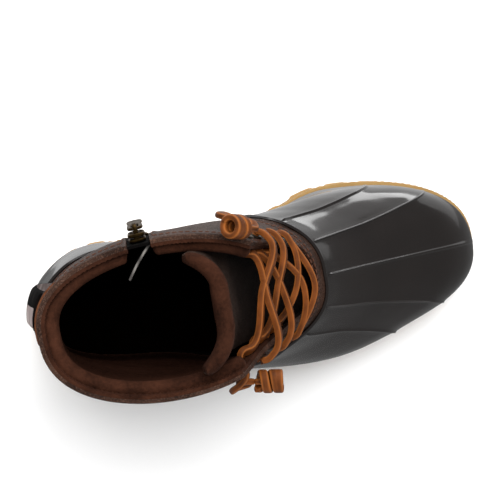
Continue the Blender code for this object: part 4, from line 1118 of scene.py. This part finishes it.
def makeSlider():
    # Two rounded plates joined by a neck, with an arched bridge whose path is a half ellipse
    z = sideZip
    point, axes = sliderFrame()
    seat = -leatherShaft["wall"] / 2 + 0.0003
    blob, faces = pebble(18, 28, 5.0)
    wide, long, tall = z["sliderWidth"] / 2, z["sliderLength"] / 2, z["sliderThickness"]
    lower = blob * (wide, long, 0.0009) + (0, 0, seat + 0.0009)
    upper = blob * (wide, long, 0.0010) + (0, 0, seat + tall - 0.0010)
    neck = blob * (0.0016, z["sliderLength"] * 0.36, tall / 2 - 0.0004) + (0, 0.001, seat + tall / 2)
    for plate in (lower, upper):
        plate[:, 0] *= 1 - 0.16 * np.clip(-plate[:, 1] / long, 0, 1) ** 2
    top = seat + tall
    turn = np.linspace(0, np.pi, 40)
    rise = top - 0.0008 + (z["bridgeHeight"] + 0.0002) * np.sin(turn) ** 0.7
    arch = np.column_stack([0 * turn, -np.cos(turn) * z["sliderLength"] * 0.36, rise])
    tube = sweepPoints(arch, np.repeat([[1.0, 0, 0]], 40, 0), roundProfile(0.0012, 0.0022, 12, 3.0))
    tube = tube.reshape(-1, 3)
    parts = [(lower, faces), (upper, faces), (neck, faces), (tube, gridFaces(40, 12))]
    points, quads, count = [], [], 0
    for p, f in parts:
        points.append(p)
        quads.append(f + count)
        count += len(p)
    placed = point + np.concatenate(points) @ axes
    slider = addPiece("zipSlider", placed, np.concatenate(quads), [finishes["zipMetal"]])
    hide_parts("zip_slider")
    makePull(top + (z["bridgeHeight"] - 0.0012) / 2)


def makePull(hinge):
    # A closed loop round the bridge, a superellipse, and a grip that widens to its tip
    z = sideZip
    point, axes = sliderFrame()
    turn = np.linspace(0, 2 * np.pi, 56, endpoint=False)
    loop = np.column_stack([signedPower(np.cos(turn), 0.6) * 0.0027,
                            -0.0052 + signedPower(np.sin(turn), 0.6) * 0.0057, 0 * turn])
    ahead = unit(np.roll(loop, -1, 0) - np.roll(loop, 1, 0))
    outward = np.cross(ahead, (0, 0, 1.0))
    profile = roundProfile(0.0019, z["pullThickness"], 12, 3.0)
    ring = loop[:, None] + profile[None, :, :1] * outward[:, None]
    ring = ring + profile[None, :, 1:] * np.array([0, 0, 1.0])
    down = np.linspace(0, 1, 40)[:, None]
    shape = smoothCurve((0, 0.08, 0.35, 0.8, 0.95, 1), (0.45, 0.55, 0.80, 1.0, 0.85, 0.25), down)
    around = np.linspace(0, 2 * np.pi, 20, endpoint=False)[None]
    c, s = np.cos(around), np.sin(around)
    dish = 1 - 0.35 * (np.abs(c) < 0.75) * ease(down, 0.15, 0.25) * ease(down, 0.92, 0.82)
    grip = np.stack([z["pullWidth"] / 2 * shape * signedPower(c, 0.5), -0.0100 - 0.0137 * down + 0 * c,
                     z["pullThickness"] / 2 * dish * signedPower(s, 0.5)], -1)
    ends = [np.arange(20)[::-1][None], np.arange(20)[None] + 39 * 20]
    base = len(ring) * 12
    points = np.concatenate([ring.reshape(-1, 3), grip.reshape(-1, 3)]) + (0, 0, hinge)
    faces = [gridFaces(56, 12, closedRows=True)[:, ::-1], gridFaces(40, 20)[:, ::-1] + base,
             *[e[:, ::-1] + base for e in ends]]
    pull = addPiece("zipPull", point + points @ axes, faces, [finishes["zipMetal"]], body="pull_tab")
    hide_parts("zip_pull")


zipGuard = {"shares": (0.46, 0.975), "before": 5, "across": 14,      # degrees round the shaft
            "depth": 0.0022, "lean": 0.0135, "thickness": 0.0012, "binding": (0.0011, 0.0012)}


def makeZipGuard():
    # A cloth-backed flap behind the zip whose free edge leans into the boot, bound in grey tape:
    # its depth grows straight across and as an S-curve up the shaft
    g = zipGuard
    share = np.linspace(*g["shares"], 60)[:, None]
    across = np.linspace(0, 1, 30)[None]
    degrees = zipLine(share) - g["before"] + across * g["across"]
    depth = g["depth"] + g["lean"] * across * ease(share, 0.5, 0.97)
    front = leatherPoint(np.radians(degrees), share + 0 * across, -depth)[0]
    back = leatherPoint(np.radians(degrees), share + 0 * across, -depth - g["thickness"])[0]
    guard = wallPiece("zipGuard", front, back, [finishes["tape"]], closedCols=False)
    path = (front[-1] + back[-1]) / 2
    out = np.repeat(unit(np.array([[0, 1.0, 0.3]])), 60, 0)
    profile = roundProfile(*g["binding"], 10, 2.2)
    edge = joinCords("guardBinding", [(throughPoints(path, 60), out)], profile, [finishes["binding"]])


makeZip()
makeSlider()
makeZipGuard()
print("zip made")


# Back strip and heel loop

heelLoop = {
    "degrees": 168.0, "width": 0.016, "length": 0.044, "stand": 0.0061, "thickness": 0.0016, "top": 0.955,
    "stayWidth": 0.028, "stayThickness": 0.0012,
    "paintedLightRows": (40, 62), "paintedLightFrom": 6,       # painted light: a light patch on the loop's face, in rows down and columns across
}


def acrossBack(share, width, count):
    # Angles of even steps across the back of a level, about the middle of the loop
    middle = formPoint(math.radians(heelLoop["degrees"]), share)[1] - bootForm["shift"][1]
    steps = middle + np.linspace(1, -1, count) * width / 2
    inner = formPoint(np.pi / 2, share)[1] - bootForm["shift"][1]
    outer = bootForm["shift"][1] - formPoint(-np.pi / 2, share)[1]
    reach = np.where(steps >= 0, inner, outer)
    return np.pi - np.arcsin(signedPower(steps / reach, 1 / bootForm["endFullness"]))


def backStrip(name, width, lift, thickness, shares, materials, steps=21, taper=1.0):
    # A strip down the back: laid on the leather, then pushed straight out by its rise
    widths = width * taper * np.ones(len(shares))
    angles = np.array([acrossBack(share, wide, steps) for share, wide in zip(shares, widths)])
    out = leatherPoint(math.radians(heelLoop["degrees"]), shares, lift)[1][:, None]
    base = leatherPoint(angles, shares[:, None], lift.min())[0] + out * (lift - lift.min())[:, None, None]
    side = np.linspace(-0.5, 0.5, steps)
    crown = thickness * np.sqrt(np.clip(1 - np.abs(2 * side) ** 10, 0.1, 1))
    return wallPiece(name, base + out * crown[None, :, None], base, materials, closedCols=False)


def makeHeelLoop():
    # The loop stands off the strip as a flattened sine, sewn down at both ends
    h = heelLoop
    shares = np.linspace(0.60, 0.985, 60)
    stay = backStrip("backStay", h["stayWidth"], np.full(60, 0.00005), h["stayThickness"] + 0.0004, shares,
                     [finishes["leather"], finishes["leather"], finishes["edge"]], 31,
                     0.62 + 0.38 * ease(shares, 0.60, 0.78))
    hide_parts("backstay")
    turn = np.linspace(0, 1, 70)
    bow = np.sin(np.pi * np.clip((turn - 0.12) / 0.76, 0, 1)) ** 0.8
    lift = 0.0003 * 2.5 + h["stayThickness"] + 0.0004 + h["stand"] * bow
    shares = h["top"] - (1 - turn) * h["length"] / bootForm["collarRise"]
    loop = backStrip("heelLoop", h["width"], lift, h["thickness"], shares,
                     [finishes["loopFace"], finishes["loopBack"], finishes["loopFace"]], 17)
    # painted light: part of the loop's face takes the light back colour as a patch of painted light
    row, column = np.divmod(np.arange(69 * 16), 16)
    index = np.zeros(len(loop.data.polygons), np.int32)
    loop.data.polygons.foreach_get("material_index", index)
    index[:69 * 16] = (row > h["paintedLightRows"][0]) & (row < h["paintedLightRows"][1]) & (column > h["paintedLightFrom"])
    loop.data.polygons.foreach_set("material_index", index)
    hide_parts("heel_loop")


footbed = {
    "inset": 0.0040,
    "profile": ((0.15, 0.0003), (0.6, 0.0003), (0.98, 0.0003), (1.0, 0.0012), (0.995, 0.0034),
                (0.95, 0.0043), (0.6, 0.0043), (0.15, 0.0040)),       # share of the outline, height
}


def makeInsole():
    # A footbed inside the shell: rings of the sole's outline moved in, up one side and over the top
    n = 240
    angles = np.radians(np.linspace(-180, 180, n, endpoint=False))
    line = soleOutline(angles, np.full(n, -footbed["inset"]))
    rings = []
    for share, height in footbed["profile"]:
        plan = line * (1, share) if share < 0.9 else line * (share, share)
        station = stationAt(plan[:, 0])
        rings.append(np.column_stack([plan, soleTop(station) + height]))
    # start at the toe, so that the rungs at the ends run from side to side
    points = np.roll(np.stack(rings), -n // 2, 1)
    # at this depth the fleece's painted shade makes the footbed near black
    bed = addPiece("footbed", points, cappedFaces(len(rings), n), [finishes["fleece"]])
    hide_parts("insole")


makeHeelLoop()
makeInsole()
print("heel loop and footbed made")


# Stitching

stitching = {"pitch": 0.0030, "length": 0.0023, "radius": 0.00038,
             "rimRows": (0.034, 0.052), "collarRow": 0.957}


def stitchLine(angle, share, lift):
    # Even stitches along a line on the leather: centre, direction along, and out
    fine, out = leatherPoint(angle, share, lift + shaftCreases(angle, share))
    length = distanceAlong(fine)
    spots = np.arange(stitching["pitch"] / 2, length[-1], stitching["pitch"])
    centre = np.stack([np.interp(spots, length, fine[:, i]) for i in range(3)], 1)
    normal = unit(np.stack([np.interp(spots, length, out[:, i]) for i in range(3)], 1))
    ahead = np.stack([np.interp(spots + 0.0004, length, fine[:, i]) for i in range(3)], 1) - centre
    ahead = unit(ahead - normal * (ahead * normal).sum(1, keepdims=True) + 1e-9)
    return centre, np.stack([ahead, np.cross(normal, ahead), normal], 1)


def makeStitches(name, lines, mat):
    # Each stitch is a small grain-shaped bead, half sunk in the leather
    bead, faces = pebble(4, 6, 2.4)
    bead = bead[:, [2, 0, 1]] * (stitching["length"] / 2, stitching["radius"], stitching["radius"])
    centres, axes = zip(*lines)
    points, quads = repeatShape(bead, faces, np.concatenate(centres), np.concatenate(axes))
    piece = addPiece(name, points, quads, [mat])
    return piece


barTack = {"degrees": 72, "share": 0.965, "bead": (0.0022, 0.0004, 0.0004), "reach": 0.0024, "count": 7}


def allStitches():
    # Three rows round each facing, then the rows that go round the shaft
    lines = []
    up = np.linspace(0.740, 0.975, 160)
    for side in (1, -1):
        edge = facingEdge(up, side > 0)
        width = facingWidth(up)
        for offset in (2.6 + 0 * up, width - 1.6, width + 1.8):
            lines.append(stitchLine(np.radians(side * (edge + offset)), up, 0.0004))
    # two rows above the shell's rim, round the whole shaft
    around = np.radians(np.linspace(-178, 178, 900))
    for rise in stitching["rimRows"]:
        lines.append(stitchLine(around, shellTop(around) + rise, 0.0001))
    # below the collar's roll, and either side of the zip's slot
    for low, high in ((31, 98.5), (113.5, 180), (-180, -31)):
        columns = np.linspace(low, high, 300)
        share = np.full(300, stitching["collarRow"])
        lines.append(stitchLine(shaftAngle(columns, share), share, 0.0001))
    slot = np.linspace(0.44, 0.95, 200)
    for column in (98.2, 113.6):
        lines.append(stitchLine(shaftAngle(np.full(200, column), slot), slot, 0.0001))
    makeStitches("stitching", lines, finishes["thread"])
    # bar tack on the collar's inside, in front of the zip
    tack, faces = pebble(4, 6, 2.4)
    tack = tack[:, [2, 0, 1]] * barTack["bead"]
    steps = np.linspace(-barTack["reach"], barTack["reach"], barTack["count"])
    spot, out = leatherPoint(math.radians(barTack["degrees"]), barTack["share"], -leatherShaft["wall"] - 0.0007)
    side = unit(np.cross((0, 0, 1.0), out))
    top = np.cross(out, side)
    centres = spot + side * steps[:, None]
    axes = np.repeat(np.stack([top, side, out])[None], barTack["count"], 0)
    points, quads = repeatShape(tack, faces, centres, axes)
    addPiece("barTack", points, quads, [finishes["edge"]])


allStitches()
print("stitching made")


# Stage, light and camera

def makeFloor():
    # Plain and pale, and left out of reflections, where it would turn the rubber grey
    mesh = bpy.data.meshes.new("paleFloor")
    mesh.from_pydata([(-6, -6, 0), (6, -6, 0), (6, 6, 0), (-6, 6, 0)], [], [(0, 1, 2, 3)])
    floor = bpy.data.objects.new("paleFloor", mesh)
    mesh.materials.append(newMaterial("paleFloor", "#fafafa", 0.9)[0])
    bpy.context.scene.collection.objects.link(floor)
    floor.visible_glossy = False


def addLight(name, place, target, size, power, mirrored=True, seen=True):
    # A rectangular softbox at a place, turned to its target
    lamp = bpy.data.lights.new(name, "AREA")
    lamp.shape = "RECTANGLE"
    lamp.size, lamp.size_y = size
    lamp.energy = power
    obj = bpy.data.objects.new(name, lamp)
    obj.visible_glossy = mirrored
    obj.visible_camera = seen
    bpy.context.scene.collection.objects.link(obj)
    away = np.array(place, float) - np.array(target, float)
    up = np.array((0, 1.0, 0)) if abs(unit(away)[1]) < 0.9 else np.array((1.0, 0, 0))
    x = unit(np.cross(up, away))
    y = np.cross(unit(away), x)
    obj.matrix_world = Matrix([[x[i], y[i], unit(away)[i], place[i]] for i in range(3)] + [[0, 0, 0, 1]])


def makeCamera():
    # Its axes are the three directions, squared up
    c = cameraView
    right, up = unit(np.array(c["right"])), np.array(c["up"])
    up = unit(up - right * (up @ right))
    back = np.cross(right, up)
    camera = bpy.data.cameras.new("photoCamera")
    camera.lens, camera.sensor_width = c["lens"], c["sensor"]
    camera.clip_start, camera.clip_end = 0.02, 50
    obj = bpy.data.objects.new("photoCamera", camera)
    obj.matrix_world = Matrix([[right[i], up[i], back[i], c["place"][i]] for i in range(3)] + [[0, 0, 0, 1]])
    bpy.context.scene.collection.objects.link(obj)
    bpy.context.scene.camera = obj


makeFloor()
addLight("overheadSoftbox", (-0.05, 0.52, 1.44), (0.0, 0.0, 0.04), (1.4, 1.0), 38, mirrored=False)
addLight("fillSoftbox", (0.0, -1.30, 1.10), (0.0, 0.0, 0.04), (1.4, 0.8), 9, mirrored=False)
addLight("sideSoftbox", (0.10, 1.25, 0.45), (0.0, 0.0, 0.04), (0.9, 0.6), 5)
# two panels for reflections: the lit table by the inner side, and a window, low and ahead
addLight("tablePanel", (0.05, 0.27, 0.001), (0.05, 0.27, 1.0), (0.64, 0.46), 0.46, seen=False)
addLight("windowPanel", (0.70, 0.83, -0.52), (0.05, 0.03, 0.06), (0.24, 0.34), 0.75, seen=False)
makeCamera()
world = bpy.data.worlds.new("studio")
bpy.context.scene.world = world
world.use_nodes = True
world.node_tree.nodes["Background"].inputs["Color"].default_value = linearColour("#ffffff")
world.node_tree.nodes["Background"].inputs["Strength"].default_value = 0.22
bpy.context.scene.view_settings.view_transform = "Standard"
print("stage made")
